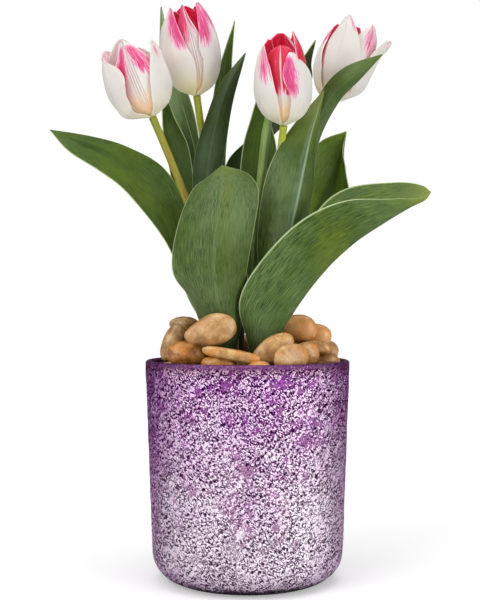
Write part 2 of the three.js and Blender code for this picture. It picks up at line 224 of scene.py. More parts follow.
def along(points, u):
    points = np.asarray(points, float)
    u = np.asarray(u, float)
    last = len(points) - 1
    k = np.minimum((u * last).astype(int), last - 1)
    t = (u * last - k)[..., None]
    ends = np.vstack([2 * points[0] - points[1], points, 2 * points[-1] - points[-2]])
    a, b, c, d = ends[k], ends[k + 1], ends[k + 2], ends[k + 3]
    return b + ((c - a) * t + (2 * a - 5 * b + 4 * c - d) * t**2 + (3 * b - a - 3 * c + d) * t**3) / 2


def normalsOf(grid):
    du = np.gradient(grid, axis=0)
    dv = np.gradient(grid, axis=1)
    normal = np.cross(du, dv)
    return normal / np.maximum(np.linalg.norm(normal, axis=2, keepdims=True), 1e-9)


def bladeParts(grid, thickness, u, v):
    normal = normalsOf(grid)
    rows, cols = grid.shape[:2]
    half = (thickness / 2)[..., None] * normal
    points = np.vstack([(grid + half).reshape(-1, 3), (grid - half).reshape(-1, 3)])
    n = rows * cols
    at = np.arange(n).reshape(rows, cols)
    front = [at[:-1, :-1], at[1:, :-1], at[1:, 1:], at[:-1, 1:]]
    faces = [np.stack([c.ravel() for c in front], 1)]
    faces.append(faces[0][:, ::-1] + n)
    for a, b, flip in ((at[:-1, 0], at[1:, 0], True), (at[:-1, -1], at[1:, -1], False),
                       (at[0, :-1], at[0, 1:], False), (at[-1, :-1], at[-1, 1:], True)):
        strip = np.stack([a, b, b + n, a + n], 1)
        faces.append(strip[:, ::-1] if flip else strip)
    uv = np.stack(np.broadcast_arrays(u, v), 2).reshape(-1, 2)
    return points, np.vstack(faces), np.vstack([uv, uv])


def turnedParts(profile, segments):
    profile = np.asarray(profile, float)
    angles = np.arange(segments) * 2 * math.pi / segments
    ring = profile[1:-1]
    x = ring[:, :1] * np.cos(angles)
    y = ring[:, :1] * np.sin(angles)
    z = np.repeat(ring[:, 1:], segments, 1)
    poles = [[0, 0, profile[0][1]], [0, 0, profile[-1][1]]]
    points = np.vstack([np.stack([x, y, z], 2).reshape(-1, 3), poles])
    at = np.arange(len(ring) * segments).reshape(len(ring), segments)
    turn = np.roll(at, -1, 1)
    sides = np.stack([at[:-1], turn[:-1], turn[1:], at[1:]], 2).reshape(-1, 4)
    low, high = len(points) - 2, len(points) - 1
    faces = sides.tolist()
    faces += [(low, b, a) for a, b in zip(at[0], turn[0])]
    faces += [(high, a, b) for a, b in zip(at[-1], turn[-1])]
    return points, faces


def resample(profile, step):
    profile = np.asarray(profile, float)
    length = np.concatenate([[0], np.cumsum(np.linalg.norm(np.diff(profile, axis=0), axis=1))])
    at = np.linspace(0, length[-1], max(2, int(length[-1] / step) + 1))
    return np.stack([np.interp(at, length, profile[:, i]) for i in (0, 1)], 1)


def turned(degrees, axis, size=3):
    return Matrix.Rotation(math.radians(degrees), size, axis)


def makeObject(name, points, faces, materials, uv=None, faceMaterial=None, attributes=None):
    mesh = bpy.data.meshes.new(name)
    faces = faces.tolist() if isinstance(faces, np.ndarray) else faces
    mesh.from_pydata((np.asarray(points) * mm).tolist(), [], faces)
    mesh.polygons.foreach_set("use_smooth", [True] * len(mesh.polygons))
    if uv is not None:
        loops = np.zeros(len(mesh.loops), int)
        mesh.loops.foreach_get("vertex_index", loops)
        mesh.uv_layers.new(name="UVMap").data.foreach_set("uv", np.asarray(uv)[loops].ravel())
    if faceMaterial is not None:
        mesh.polygons.foreach_set("material_index", np.asarray(faceMaterial, int))
    for key, values in (attributes or {}).items():
        mesh.attributes.new(key, "FLOAT", "POINT").data.foreach_set("value", np.asarray(values, float))
    for material in materials:
        mesh.materials.append(material)
    mesh.update()
    thing = bpy.data.objects.new(name, mesh)
    bpy.context.collection.objects.link(thing)
    return thing


def dress(thing, node):
    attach(thing, "root")
    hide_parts(node)


def makeFloor():
    material, surface = newMaterial("paperWhite", Roughness=0.9, Emission_Color=(1, 1, 1))
    where = objectPlace()
    grain = noiseAt(where, 300)
    away = vectorMaths("LENGTH", where, output=1)
    glow = remap(away, 0.16, 1.0, *light["floorGlow"])
    feed(surface["Emission Strength"], glow * put("LightPath", output="Is Camera Ray"))
    finishMaterial(surface, ramp(grain, [(0, light["floorDark"]), (1, light["floorPale"])]))
    ring = arc(0, 0, light["floorRadius"], 0, 355, 71)
    floor = makeObject("floor", [(x, y, 0) for x, y in ring], [tuple(range(len(ring)))], [material])


makeCamera()
makeWorld()
for lamp in ("left", "right", "top"):
    makeLight(lamp)
makeFloor()
bpy.context.scene.view_settings.view_transform = "Standard"
print("camera, lights and floor made")

# the glass cylinder

pot = {
    "height": 136.2,
    "rimRadius": 63.5,
    "lowerRadius": 59.3,
    "footCorner": 18.9,
    "wall": 3.6,
    "floor": 6,
    "lip": 1.8,
    "innerCorner": 14,
    "columns": 400,
    "step": 0.72,
    "chip": 2.3,  # mm across one glass chip
    "relief": 0.22,
    "swell": 0.25,
    "swellScale": 9,
    # the chip pattern of each crease set is the glass's own; the lit and shaded sides of its chips are
    # painted
    "creases": ((3.0, 0.6, 0.6, 0.8, -0.55), (1.75, -0.6, 0.6, 1.0, 0.6), (1.15, 0.2, 0.8, 0.8, -0.1)),
    "creaseStep": 0.28,  # share of a cell
    "creaseGain": 3.6,
    "warp": 0.004,
    "warpScale": 420,
    "violet": (0.37, 0.12, 0.42),
    "lilac": (0.5, 0.25, 0.48),
    "silver": (0.56, 0.43, 0.53),
    # painted shade on the dark side of each chip, at the top and at the bottom
    "deep": (0.025, 0.0, 0.04),
    "deepLow": (0.04, 0.014, 0.035),
    # painted glint, white on the lit side of the chips
    "glint": (1.0, 0.93, 1.0),
    "edge": (0.4, 0.1, 0.44),
    "depth": (0.93, 0.72, 0.93),
    "depthLow": (0.98, 0.93, 0.98),
    # painted shade in a band just below the rim
    "shadeUnderRim": (0.55, 0.45, 0.44),
    "shadeUnderRimBand": (0.126, 0.134),  # the bands are heights in metres
    # the turn, in radians, of the painted reflection band
    "reflectionBandTurn": 0.08,
    "lipTone": (0.2, 0.085, 0.22),
    "lipBand": (0.1325, 0.1345),
    # painted shade along the foot
    "footShade": (0.03, 0.025, 0.03),
    "footShadeBand": (0.0045, 0.007),
}


def creaseAt(where, crease):
    # mm across, slant, how narrow the shards are, how strong, which way the painted lit side leans
    size, slant, narrow, share, lit = crease
    step = pot["creaseStep"] * size * mm
    moved = vectorMaths("ADD", where, (step * math.sin(lit), 0, step * math.cos(lit)))
    shape = {"Rotation": (0, slant, 0), "Scale": (size * narrow * mm, size * mm, size * mm)}
    cells = []
    for point in (where, moved):
        vector = put("Mapping", {"Vector": point, **shape}, vector_type="TEXTURE")
        cells.append(put("TexVoronoi", {"Vector": vector, "Scale": 1}, ("Distance", "Color")))
    # painted light and shade: positive on the side of a chip towards the lit direction, negative on the
    # other side
    slope = (cells[1][0] - cells[0][0]) * (pot["creaseGain"] * share)
    return slope, *cells[0]


def mosaicMaterial():
    material, surface = newMaterial("mosaicGlass", Roughness=0.2, Coat_Roughness=0.1, Coat_IOR=1.05,
                                    Specular_Tint=pot["edge"])
    where = objectPlace()
    x, y, height = parts(where)
    warp = noiseAt(where, pot["warpScale"], 2, output="Color")
    warp = vectorMaths("SUBTRACT", warp, (0.5, 0.5, 0.5))
    warped = vectorMaths("ADD", where, vectorMaths("SCALE", warp, scale=pot["warp"]))
    slopes, domes, colors = zip(*[creaseAt(warped, crease) for crease in pot["creases"]])
    shade, flake, _ = parts(colors[0])
    # painted reflection: a paler upright band near a set turn of the pot, fading upwards, that lightens
    # the body and adds glints
    turn = maths("ARCTAN2", x, y * -1.0)
    apart = abs(turn - pot["reflectionBandTurn"])
    pale = remap(apart, 0.15, 0.7) * remap(apart, 1.0, 1.35, 1, 0)
    side = remap(turn, -0.2, 0.2, 0.6, 1.0)
    pale = pale * side * remap(height, 0.02, 0.14, 1.0, 0.5)
    patch = noiseAt(where, 32, 3)
    level = remap(height, 0.0, 0.14, -0.05, 1.0) + remap(patch, 0.3, 0.7, -0.18, 0.18)
    level = maths("SUBTRACT", level, pale * 0.34, clamp=True)
    body = ramp(level, [(0.02, pot["silver"]), (0.5, pot["lilac"]), (0.95, pot["violet"])])
    body = mixColor(remap(shade, 0.0, 1.0, 0.0, 0.6), body, (0.5, 0.5, 0.5), "MULTIPLY")
    # the painted shade colour for the dark side of the chips
    deep = ramp(level, [(0.1, pot["deepLow"]), (0.8, pot["deep"])])
    feed(surface["Coat Tint"], ramp(level, [(0.0, pot["depthLow"]), (0.9, pot["depth"])]))
    calm = remap(noiseAt(where, 110, 3, 0.6), 0.5, 0.59, 1.05, 0.3)  # flat patches with less of the painted glints and shade
    slope = (slopes[0] + slopes[1] + slopes[2]) * calm
    # solid is 0 in the painted shade and 1 out of it; it also sets the metal, gloss and coat
    solid = remap(slope, -0.46, -0.28)
    for socket, share in (("Metallic", 0.8), ("Specular IOR Level", 0.5), ("Coat Weight", 1.0)):
        feed(surface[socket], solid * share)
    # painted shade on the dark side of each chip
    dark = mixColor(solid, deep, body)
    # painted glints: mixed in where the lit side of the chips, a clustering noise, the whole chips and the
    # painted reflection band add up, fewer towards the top
    sparkle = remap(noiseAt(where, 60, 2), 0.33, 0.67, -0.22, 0.22)
    whole = remap(flake, 0.82, 0.87, 0.0, 0.7)  # painted glint: a few chips are bright all over
    lift = slope + sparkle + whole - level * 0.26 + pale * 0.3
    bright = mixColor(remap(lift, 0.2, 0.28), dark, pot["glint"])
    # painted shade: darker in a band just below the rim, inside and out
    bright = mixColor(remap(height, *pot["shadeUnderRimBand"]), bright, pot["shadeUnderRim"], "MULTIPLY")
    bright = mixColor(remap(height, *pot["lipBand"], 0, 0.75), bright, pot["lipTone"])
    # painted shade along the foot where it meets the floor, its upper edge broken by the chip tone
    ragged = height + shade * 0.0025
    color = mixColor(remap(ragged, *pot["footShadeBand"], 1, 0), bright, pot["footShade"])
    finishMaterial(surface, color, (domes[1] + domes[2]) * -1.0, 0.8, 0.4)
    return material


def chipRelief(point):
    q = Vector(point) / pot["chip"]
    distances, places = noise.voronoi(q)
    nearest = places[0]
    lean = noise.noise_vector(nearest * 5.3)
    rise = min(1.0, (distances[1] - distances[0]) * 2.2) - 0.6
    chip = pot["relief"] * (rise + 1.1 * lean.dot(q - nearest))
    return chip + pot["swell"] * noise.noise(Vector(point) / pot["swellScale"])


def potProfile():
    low, high, foot, lip = pot["lowerRadius"], pot["rimRadius"], pot["footCorner"], pot["lip"]
    corner = arc(low - foot, foot, foot, -90, 0, 40)
    outer = resample([(0, 0), *corner, (high, pot["height"] - lip)], pot["step"])
    outer = [p for p in outer if p[0] > low - foot - 1]  # no rings across the flat foot, only its rim
    edge = arc(high - lip, pot["height"] - lip, lip, 15, 180, 10)
    bend = pot["innerCorner"]
    bowl = arc(low - pot["wall"] - bend, pot["floor"] + bend, bend, 0, -90, 6)
    inside = resample([edge[-1], (high - pot["wall"] - 0.4, 122)], 1.2)[1:]
    return [(0, 0), *outer, *edge, *inside, *bowl, (0, pot["floor"])], len(outer)


def makePot():
    profile, outerCount = potProfile()
    points, faces = turnedParts(profile, pot["columns"])
    for i in range(outerCount * pot["columns"]):
        x, y, z = points[i]
        fade = float(ease(z, 0.8, 5) * (1 - ease(z, pot["height"] - 5, pot["height"] - 2.2)))
        if fade > 0:
            out = np.array([x, y, 0]) / math.hypot(x, y)
            points[i] += out * chipRelief((x, y, z)) * fade
    thing = makeObject("potGlass", points, faces, [mosaicMaterial()])
    dress(thing, "pot")
    print("pot made,", len(faces), "faces")


# soil, bulbs and stems

soil = {
    "top": 121,
    "gap": 0.7,
    "pocket": 14,
    "pocketTop": 132,
    "columns": 220,
    "crumb": 1.3,
    "brown": (0.05, 0.03, 0.018),
    "bark": (0.14, 0.08, 0.045),
    "fibre": (0.3, 0.2, 0.12),
}

plants = {
    "front_left": (-21, -12),
    "back_left": (-10, 26),
    "front_right": (14, -19),
    "back_right": (26, 16),
}

bulb = {
    "radius": 13.2,
    "top": 111.5,
    "length": 30,
    "skin": (0.32, 0.14, 0.05),
    "pale": (0.6, 0.36, 0.18),
}

stem = {
    "radius": 2.3,
    "green": (0.64, 0.67, 0.03),
    "dark": (0.26, 0.34, 0.015),
    "flush": (0.3, 0.18, 0.015),
    # painted shade, multiplied over a stem with a strong flush
    "shaded": (0.54, 0.55, 0.5),
}

stems = {
    "front_left": [(-21, -12, 112.3), (-22, -14, 160), (-25.5, -15, 195), (-31, -16, 217), (-38, -16, 236),
                   (-47.8, -17, 261), (-57.8, -18, 284.6)],
    "back_left": [(-10, 26, 112.3), (-12, 24, 160), (-18, 21, 199), (-23, 19, 238), (-27, 15, 269),
                  (-30, 12, 288), (-32, 10, 302.6)],
    "front_right": [(14, -19, 112.3), (12, -12, 161), (12.5, -7, 204), (17.2, -7.5, 241), (20.4, -11, 265),
                    (22, -17, 279.4)],
    "back_right": [(26, 16, 112.3), (27, 18, 161), (29, 20, 206), (34.5, 24, 244), (42.5, 28, 274),
                   (53.8, 30, 301.5)],
}


def soilMaterial():
    material, surface = newMaterial("pottingSoil", Roughness=0.95)
    where = objectPlace()
    grain = noiseAt(where, 600, 5, 0.7)
    flake = put("TexVoronoi", {"Vector": where, "Scale": 330}, "Distance")
    color = ramp(grain, [(0.3, soil["brown"]), (0.6, soil["bark"]), (0.85, soil["fibre"])])
    finishMaterial(surface, color, grain + flake, 0.9, 0.8)
    return material


def cutPocket(thing, x, y):
    hole = arc(x, y, soil["pocket"], 0, 350, 35)
    n = len(hole)
    low = bulb["top"] - bulb["length"] - soil["gap"]
    rings = [(*p, z) for z in (low, soil["pocketTop"]) for p in hole]
    sides = [(i, (i + 1) % n, n + (i + 1) % n, n + i) for i in range(n)]
    ends = [tuple(range(n))[::-1], tuple(range(n, 2 * n))]
    cutter = makeObject("pocket", rings, sides + ends, [])
    cut = thing.modifiers.new("pocket", "BOOLEAN")
    cut.operation = "DIFFERENCE"
    cut.object = cutter
    bpy.context.view_layer.objects.active = thing
    bpy.ops.object.modifier_apply(modifier=cut.name)
    bpy.data.objects.remove(cutter)


def makeSoil():
    gap, top, bend = soil["gap"], soil["top"], pot["innerCorner"]
    low = pot["floor"] + bend
    inner = pot["lowerRadius"] - pot["wall"]
    share = (top - low) / (pot["height"] - pot["lip"] - low)
    radius = inner + (pot["rimRadius"] - pot["lowerRadius"]) * share - gap
    corner = bend - gap
    base = pot["floor"] + gap
    side = [(0, base), *arc(inner - bend, base + corner, corner, -90, 0, 6), (radius, top - 3)]
    crown = [(radius, top - 3), (radius - 8, top - 1), (radius - 26, top), (0, top + 1)]
    crown = resample(crown, 1.1)[1:]
    points, faces = turnedParts([*side, *crown], soil["columns"])
    for point in points:
        if point[2] > top - 3.5:
            reach = float(ease(radius - math.hypot(point[0], point[1]), 0.2, 2.5))
            point[2] += soil["crumb"] * reach * (noise.turbulence(Vector(point) / 3.4, 3, False) - 0.5)
    thing = makeObject("soilFill", points, faces, [soilMaterial()])
    for x, y in plants.values():
        cutPocket(thing, x, y)
    dress(thing, "soil")


def bulbMaterial():
    material, surface = newMaterial("bulbSkin", Roughness=0.5, Coat_Weight=0.2)
    where = stretched(put("UVMap"), (34, 3, 1))
    fibre = noiseAt(where, 1.6, 5, 0.65)
    finishMaterial(surface, ramp(fibre, [(0.3, bulb["skin"]), (0.75, bulb["pale"])]), fibre, 0.6, 0.5)
    return material


def makeBulbs():
    material = bulbMaterial()
    for name, (x, y) in plants.items():
        r, top, size = bulb["radius"], bulb["top"], bulb["length"]
        shape = [(0.0, top - size), (0.45 * r, top - size), (0.92 * r, top - 0.8 * size),
                 (r, top - 0.62 * size), (0.86 * r, top - 0.4 * size), (0.5 * r, top - 0.17 * size),
                 (0.3 * r, top), (0.0, top)]
        profile = along(shape[1:-1], np.linspace(0, 1, 40))
        points, faces = turnedParts([shape[0], *profile, shape[-1]], 60)
        angle = np.arctan2(points[:, 1], points[:, 0])
        ridged = ease(points[:, 2], top - size, top - 0.6 * size)
        ridge = 1 - 0.012 * (1 + np.sin(9 * angle + x)) * ridged
        uv = np.stack([angle / (2 * math.pi) + 0.5, (points[:, 2] - top) / size + 1], 1)
        points[:, 0] = points[:, 0] * ridge + x
        points[:, 1] = points[:, 1] * ridge + y
        dress(makeObject("bulb." + name, points, faces, [material], uv), "bulb_" + name)


def centreline(points, t):
    # a smooth line through the points whose speed follows their spacing
    p = [Vector(q) for q in points]
    last = len(p) - 1
    k = min(int(t * last), last - 1)
    w = t * last - k
    b, c = p[k], p[k + 1]
    a = p[k - 1] if k > 0 else 2 * b - c
    d = p[k + 2] if k + 2 <= last else 2 * c - b
    s0, s1, s2 = (max((m - n).length, 1e-6) ** 0.5 for m, n in ((b, a), (c, b), (d, c)))
    out = ((b - a) / s0 - (c - a) / (s0 + s1) + (c - b) / s1) * s1
    into = ((c - b) / s1 - (d - b) / (s1 + s2) + (d - c) / s2) * s1
    return b + out * w + (3 * (c - b) - 2 * out - into) * w**2 + (2 * (b - c) + out + into) * w**3


def stemMaterial(name, flush):
    material, surface = newMaterial("stemSkin." + name, Roughness=0.38, Coat_Weight=0.15)
    uv = put("UVMap")
    length = parts(uv)[1]
    streak = noiseAt(stretched(uv, (16, 6, 1)), 1.5, 4, 0.6)
    fresh = ramp(streak, [(0.3, stem["dark"]), (0.65, stem["green"])])
    low = mixColor(remap(length, 0.25, 0.75, 0.55, 0), fresh, stem["dark"])
    # painted shade: a stem is multiplied by the shaded tone as strongly as its flush
    low = mixColor(flush, low, stem["shaded"], "MULTIPLY")
    speck = remap(noiseAt(stretched(uv, (9, 9, 1)), 1.2, 3), 0.3, 0.65)
    band = remap(length, 0.45, 0.7) * remap(length, 0.86, 0.96, 1, 0)
    skin = mixColor(band * speck * flush, low, stem["flush"])
    finishMaterial(surface, skin, streak, 0.25, 0.2)
    return material


def makeStems():
    rings, sides = 110, 24
    for name, path in stems.items():
        line = [centreline(path, i / (rings - 1)) for i in range(rings)]
        points, uv = [], []
        for i, centre in enumerate(line):
            ahead = (line[min(i + 1, rings - 1)] - line[max(i - 1, 0)]).normalized()
            across = ahead.cross(Vector((0, 1, 0))).normalized()
            other = across.cross(ahead)
            u = i / (rings - 1)
            radius = stem["radius"] * (1 + 0.06 * float(ease(u, 0.96, 1.0)))
            for j in range(sides + 1):
                a = 2 * math.pi * j / sides
                dent = 1 + 0.02 * math.sin(3 * a + 9 * u)
                points.append(centre + radius * dent * (across * math.cos(a) - other * math.sin(a)))
                uv.append((j / sides, u))
        n = sides + 1
        at = np.arange(rings * n).reshape(rings, n)
        corners = (at[:-1, :-1], at[:-1, 1:], at[1:, 1:], at[1:, :-1])
        faces = np.stack([c.ravel() for c in corners], 1).tolist()
        faces += [tuple(at[0, :-1].tolist())[::-1], tuple(at[-1, :-1].tolist())]
        # front_left has the strong flush and with it the painted shade
        skin = stemMaterial(name, 0.9 if name == "front_left" else 0.15)
        thing = makeObject("stem." + name, [list(p) for p in points], faces, [skin], uv)
        dress(thing, "stem_" + name)
    print("soil, bulbs and stems made")


makePot()
makeSoil()
makeBulbs()
makeStems()

# leaves: each sheet runs from base to tip through its left edge, its rib and its right edge

leaf = {
    "thickness": 1.1,
    "edge": 0.6,
    "rows": 110,
    "cols": 36,
    "wave": 0.35,
    "edgeLine": (0.56, 0.68, 0.34),
    "tip": (0.22, 0.28, 0.01),
    "ribLine": (0.3, 0.4, 0.26),
    # painted shade low on the leaves, near the soil
    "shadeNearSoil": (0.008, 0.016, 0.004),
    "shadeNearSoilBand": (0.128, 0.17),  # heights in metres
}

leafTones = {  # waxy blue green, middle, fresh and dark green of a side
    "waxy": ((0.14, 0.21, 0.062), (0.095, 0.15, 0.026), (0.105, 0.16, 0.012), (0.014, 0.042, 0.003)),
    "mid": ((0.125, 0.2, 0.052), (0.08, 0.14, 0.018), (0.12, 0.18, 0.01), (0.016, 0.045, 0.003)),
    "broad": ((0.12, 0.185, 0.048), (0.075, 0.13, 0.018), (0.092, 0.152, 0.009), (0.014, 0.042, 0.003)),
    "deep": ((0.07, 0.115, 0.035), (0.042, 0.08, 0.01), (0.065, 0.105, 0.005), (0.014, 0.036, 0.001)),
    "shade": ((0.06, 0.105, 0.045), (0.036, 0.07, 0.014), (0.045, 0.085, 0.005), (0.012, 0.03, 0.002)),
    "olive": ((0.095, 0.165, 0.026), (0.06, 0.12, 0.009), (0.1, 0.18, 0.006), (0.02, 0.048, 0.001)),
    "pale": ((0.36, 0.5, 0.2), (0.26, 0.38, 0.1), (0.3, 0.42, 0.05), (0.12, 0.2, 0.01)),
    "frost": ((0.24, 0.36, 0.14), (0.18, 0.29, 0.085), (0.16, 0.26, 0.035), (0.06, 0.12, 0.02)),
    "fresh": ((0.19, 0.3, 0.06), (0.15, 0.25, 0.016), (0.24, 0.35, 0.014), (0.045, 0.09, 0.004)),
}

leaves = {  # the left edge, the rib, the right edge and the tip where they meet
    "front_left_1": (
        [(-23, -15, 113), (-27, -22, 152), (-34.5, -26, 173.5), (-44.6, -29, 191), (-42.2, -31, 217),
         (-34, -33, 236.5), (-25, -35, 245.6)],
        [(-21, -18, 113), (-15, -31, 152), (-18, -38, 173), (-20, -43, 196), (-18, -46, 219),
         (-15, -44, 238), (-15, -41, 246)],
        [(-18, -16, 113), (-5, -24, 153), (-5, -29, 174), (0, -34, 195), (4, -36, 220), (6, -36, 239),
         (0, -36, 248)],
        (-15, -38, 253),
    ),
    "front_left_2": (
        [(-25, -13, 113), (-26, -17, 153), (-37, -21, 176.5), (-50, -20, 209.4), (-71, -22, 236.4),
         (-90, -22, 251.6), (-109.5, -22, 264.8)],
        [(-26, -10, 113), (-27, -11, 154), (-35, -14, 186), (-48, -14, 218), (-63, -14, 242),
         (-82, -15, 260), (-101, -17, 269)],
        [(-24, -8, 113), (-23, -6, 155), (-29, -6, 197), (-38, -6, 231), (-52, -8, 255), (-74, -12, 267.6),
         (-95, -16, 273.4)],
        (-120.5, -20, 277),
    ),
    "front_left_3": (
        [(-24, -7, 113), (-31, 1, 173), (-43, 8, 218), (-48, 9, 249), (-52, 10, 271), (-54, 11, 290)],
        [(-21, -5, 113), (-28, 4, 173), (-35, 12, 218), (-41, 13, 250), (-46, 14, 272), (-51, 14, 291)],
        [(-18, -8, 113), (-27, 2, 174), (-31, 8, 219), (-34, 9, 249), (-38, 9, 272), (-47, 10, 291)],
        (-54, 12, 311),
    ),
    "back_left_1": (
        [(-13, 22, 113), (-21, 14, 173), (-26, 14, 217), (-32, 16, 263), (-41, 22, 297), (-51, 36, 335)],
        [(-14, 25, 113), (-26, 22, 173), (-33, 22, 218), (-41, 24, 261), (-50, 28, 297), (-57, 40, 333)],
        [(-14, 29, 113), (-22, 31, 173), (-26, 34, 221), (-30, 36, 265), (-36, 38, 301), (-50, 46, 339)],
        (-57, 44, 369),
    ),
    "back_left_2": (
        [(-12, 31, 113), (-20, 38, 173), (-26, 42, 226), (-26, 44, 273), (-22, 44, 310), (-17, 42, 332)],
        [(-10, 33, 113), (-15, 42, 173), (-21, 46, 227), (-21, 48, 274), (-17, 47, 311), (-14, 44, 333)],
        [(-8, 32, 113), (-9, 37, 173), (-14, 40, 226), (-14, 42, 273), (-10, 43, 309), (-10, 41, 332)],
        (-8, 38, 358),
    ),
    "back_left_3": (
        [(-12, 20, 113), (-22, 8, 173), (-32, 0, 211), (-34, 0, 243), (-32, 1, 268), (-25, 4, 290),
         (-16, 6, 311)],
        [(-10, 20, 113), (-18, 3, 173), (-24, -5, 211), (-26, -5, 243), (-23, -3, 268), (-18, -1, 290),
         (-11, 3, 310)],
        [(-8, 20, 113), (-12, 9, 173), (-16, 6, 211), (-17, 5, 244), (-14, 6, 269), (-11, 7, 290),
         (-6, 8, 311)],
        (-1, 8, 330),
    ),
    "back_left_4": (
        [(-6, 24, 113), (-6, 26, 173), (-10, 30, 224), (-14, 36, 262), (10, 40, 287), (32, 42, 316),
         (37, 44, 333)],
        [(-5, 27, 113), (-1, 34, 173), (0, 40, 230), (2, 44, 266), (21, 46, 295), (37, 46, 321),
         (40, 46, 335)],
        [(-6, 32, 113), (-3, 44, 174), (1, 50, 232), (10, 52, 273), (30, 52, 297), (43, 50, 319),
         (43, 48, 332)],
        (46, 46, 347),
    ),
    "front_right_1": (
        [(9, -25, 113), (0, -31, 148), (-5, -34, 173), (8, -37, 197), (31, -38, 220), (57, -38, 232),
         (83, -38, 233), (101, -36, 233.5)],
        [(13, -26, 113), (11, -36, 143), (23, -37, 164), (44, -36, 190), (62, -36, 207), (81, -36, 220),
         (96, -36, 229), (105, -34.5, 233.5)],
        [(19, -24, 113), (18, -33, 147), (22, -31, 172), (32, -25, 205), (44, -18, 229), (63, -12, 242.5),
         (90, -18, 245), (104.8, -26, 242)],
        (109, -32, 238),
    ),
    "front_right_2": (
        [(10, -21, 113), (9, -22, 155), (7, -20, 186), (6, -20, 210), (8, -18, 234), (14, -17, 256),
         (26, -12, 278)],
        [(14, -23, 113), (16, -27, 155), (22, -26, 185), (25, -26, 211), (30, -25, 235), (34, -22, 254),
         (39, -14, 276)],
        [(18, -21, 113), (22, -18, 155), (29, -11, 189), (32, -9, 215), (39, -11, 237), (41, -10, 255),
         (42, -6, 274)],
        (48, 0, 305),
    ),
    "front_right_3": (
        [(11, -15, 113), (3, -8, 173), (3, -5, 211), (5, -3, 236), (7, 0, 258), (10, 2, 283)],
        [(12, -13, 113), (5, -6, 173), (5, -6, 211), (7, -5, 236), (10, -3, 257), (13, -1, 283)],
        [(13, -12, 113), (8, -5, 173), (8, -3, 211), (10, 0, 236), (12, 2, 258), (15, 4, 283)],
        (17, 4, 307),
    ),
    "back_right_1": (
        [(23, 11, 113), (20, 4, 161), (21, 2, 205), (28, 6, 244), (36, 7, 277), (46, 3, 303),
         (60, -3, 318)],
        [(25, 10, 113), (24, 1, 161), (29, -1, 205), (35, 5, 241), (41, 7, 274), (51, 2, 299),
         (65, -5, 312)],
        [(29, 14, 113), (28, 8, 161), (35, 5, 204), (41, 10, 238), (45, 11, 273), (57, 6, 297),
         (70, -1, 311)],
        (84, -6, 326),
    ),
    "back_right_2": (
        [(23, 22, 113), (20, 32, 160), (22, 36, 198), (28, 38, 235), (38, 38, 264), (49, 36, 278)],
        [(30, 21, 113), (26, 34, 160), (35, 42, 201), (49, 44, 236), (56, 42, 258), (61, 38, 274)],
        [(31, 18, 113), (26, 24, 159), (45, 22, 198), (66, 26, 230), (64, 30, 257), (63, 33, 272)],
        (65, 34, 284),
    ),
    "back_right_3": (
        [(22, 12, 113), (3, 10, 173), (-3, 12, 212), (-5, 14, 244), (-3, 16, 269), (2, 18, 289)],
        [(20, 17, 113), (10, 20, 173), (7, 22, 212), (7, 24, 244), (9, 25, 270), (9, 25, 290)],
        [(21, 20, 113), (17, 24, 174), (17, 24, 212), (18, 24, 244), (19, 24, 270), (15, 24, 288)],
        (8, 22, 309),
    ),
}

# a leaf's row is the tone of its side away from the front and towards it, how yellow its tip and how
# strong its rib line and its waves are, then its stripes, each (place across at the base, at the tip,
# half width, from, to, strength, colour); the stripes are painted shade and painted highlights along
# folds and edges, and on front_left_1 the yellower green along its rib

leafLooks = {
    "front_left_1": ("deep", "waxy", 0.3, 0.1, 1.0,
                     (0.58, 0.56, 0.1, 0.5, 1.1, 0.4, (0.18, 0.23, 0.035)),
                     (0.5, 0.5, 0.035, 0.1, 0.6, 0.35, (0.2, 0.28, 0.1))),
    "front_left_2": ("mid", "mid", 0.12, 0.0, 1.0,
                     (0.5, 0.5, 0.16, 0.66, 0.96, 0.8, (0.03, 0.07, 0.006)),
                     (0.2, 0.2, 0.16, 0.3, 0.9, 0.35, (0.1, 0.17, 0.015))),
    "front_left_3": ("mid", "olive", 0.2, 0.0, 0.4),
    "back_left_1": ("frost", "frost", 0.2, 0.2, 0.4),
    "back_left_2": ("mid", "olive", 0.2, 0.2, 0.4),
    "back_left_3": ("mid", "shade", 0.1, 0.1, 0.6),
    "back_left_4": ("mid", "shade", 0.2, 0.1, 0.6),
    "front_right_1": ("olive", "mid", 0.9, 0.0, 1.0),
    "front_right_2": ("mid", "broad", 0.5, 1.0, 0.6,
                      (0.42, 0.44, 0.07, -0.2, 1.2, 0.6, (0.17, 0.25, 0.15)),
                      (0.75, 0.8, 0.2, -0.2, 1.2, 0.5, (0.1, 0.17, 0.02)),
                      (0.1, 0.1, 0.2, 0.1, 0.5, 0.5, (0.11, 0.19, 0.02))),
    "front_right_3": ("mid", "pale", 0.2, 0.3, 0.2),
    "back_right_1": ("mid", "mid", 0.1, 0.1, 0.6),
    "back_right_2": ("mid", "fresh", 0.2, 0.0, 0.8,
                     (0.25, 0.8, 0.16, -0.2, 1.2, 0.75, (0.025, 0.05, 0.004))),
    "back_right_3": ("mid", "olive", 0.2, 0.0, 0.4),
}


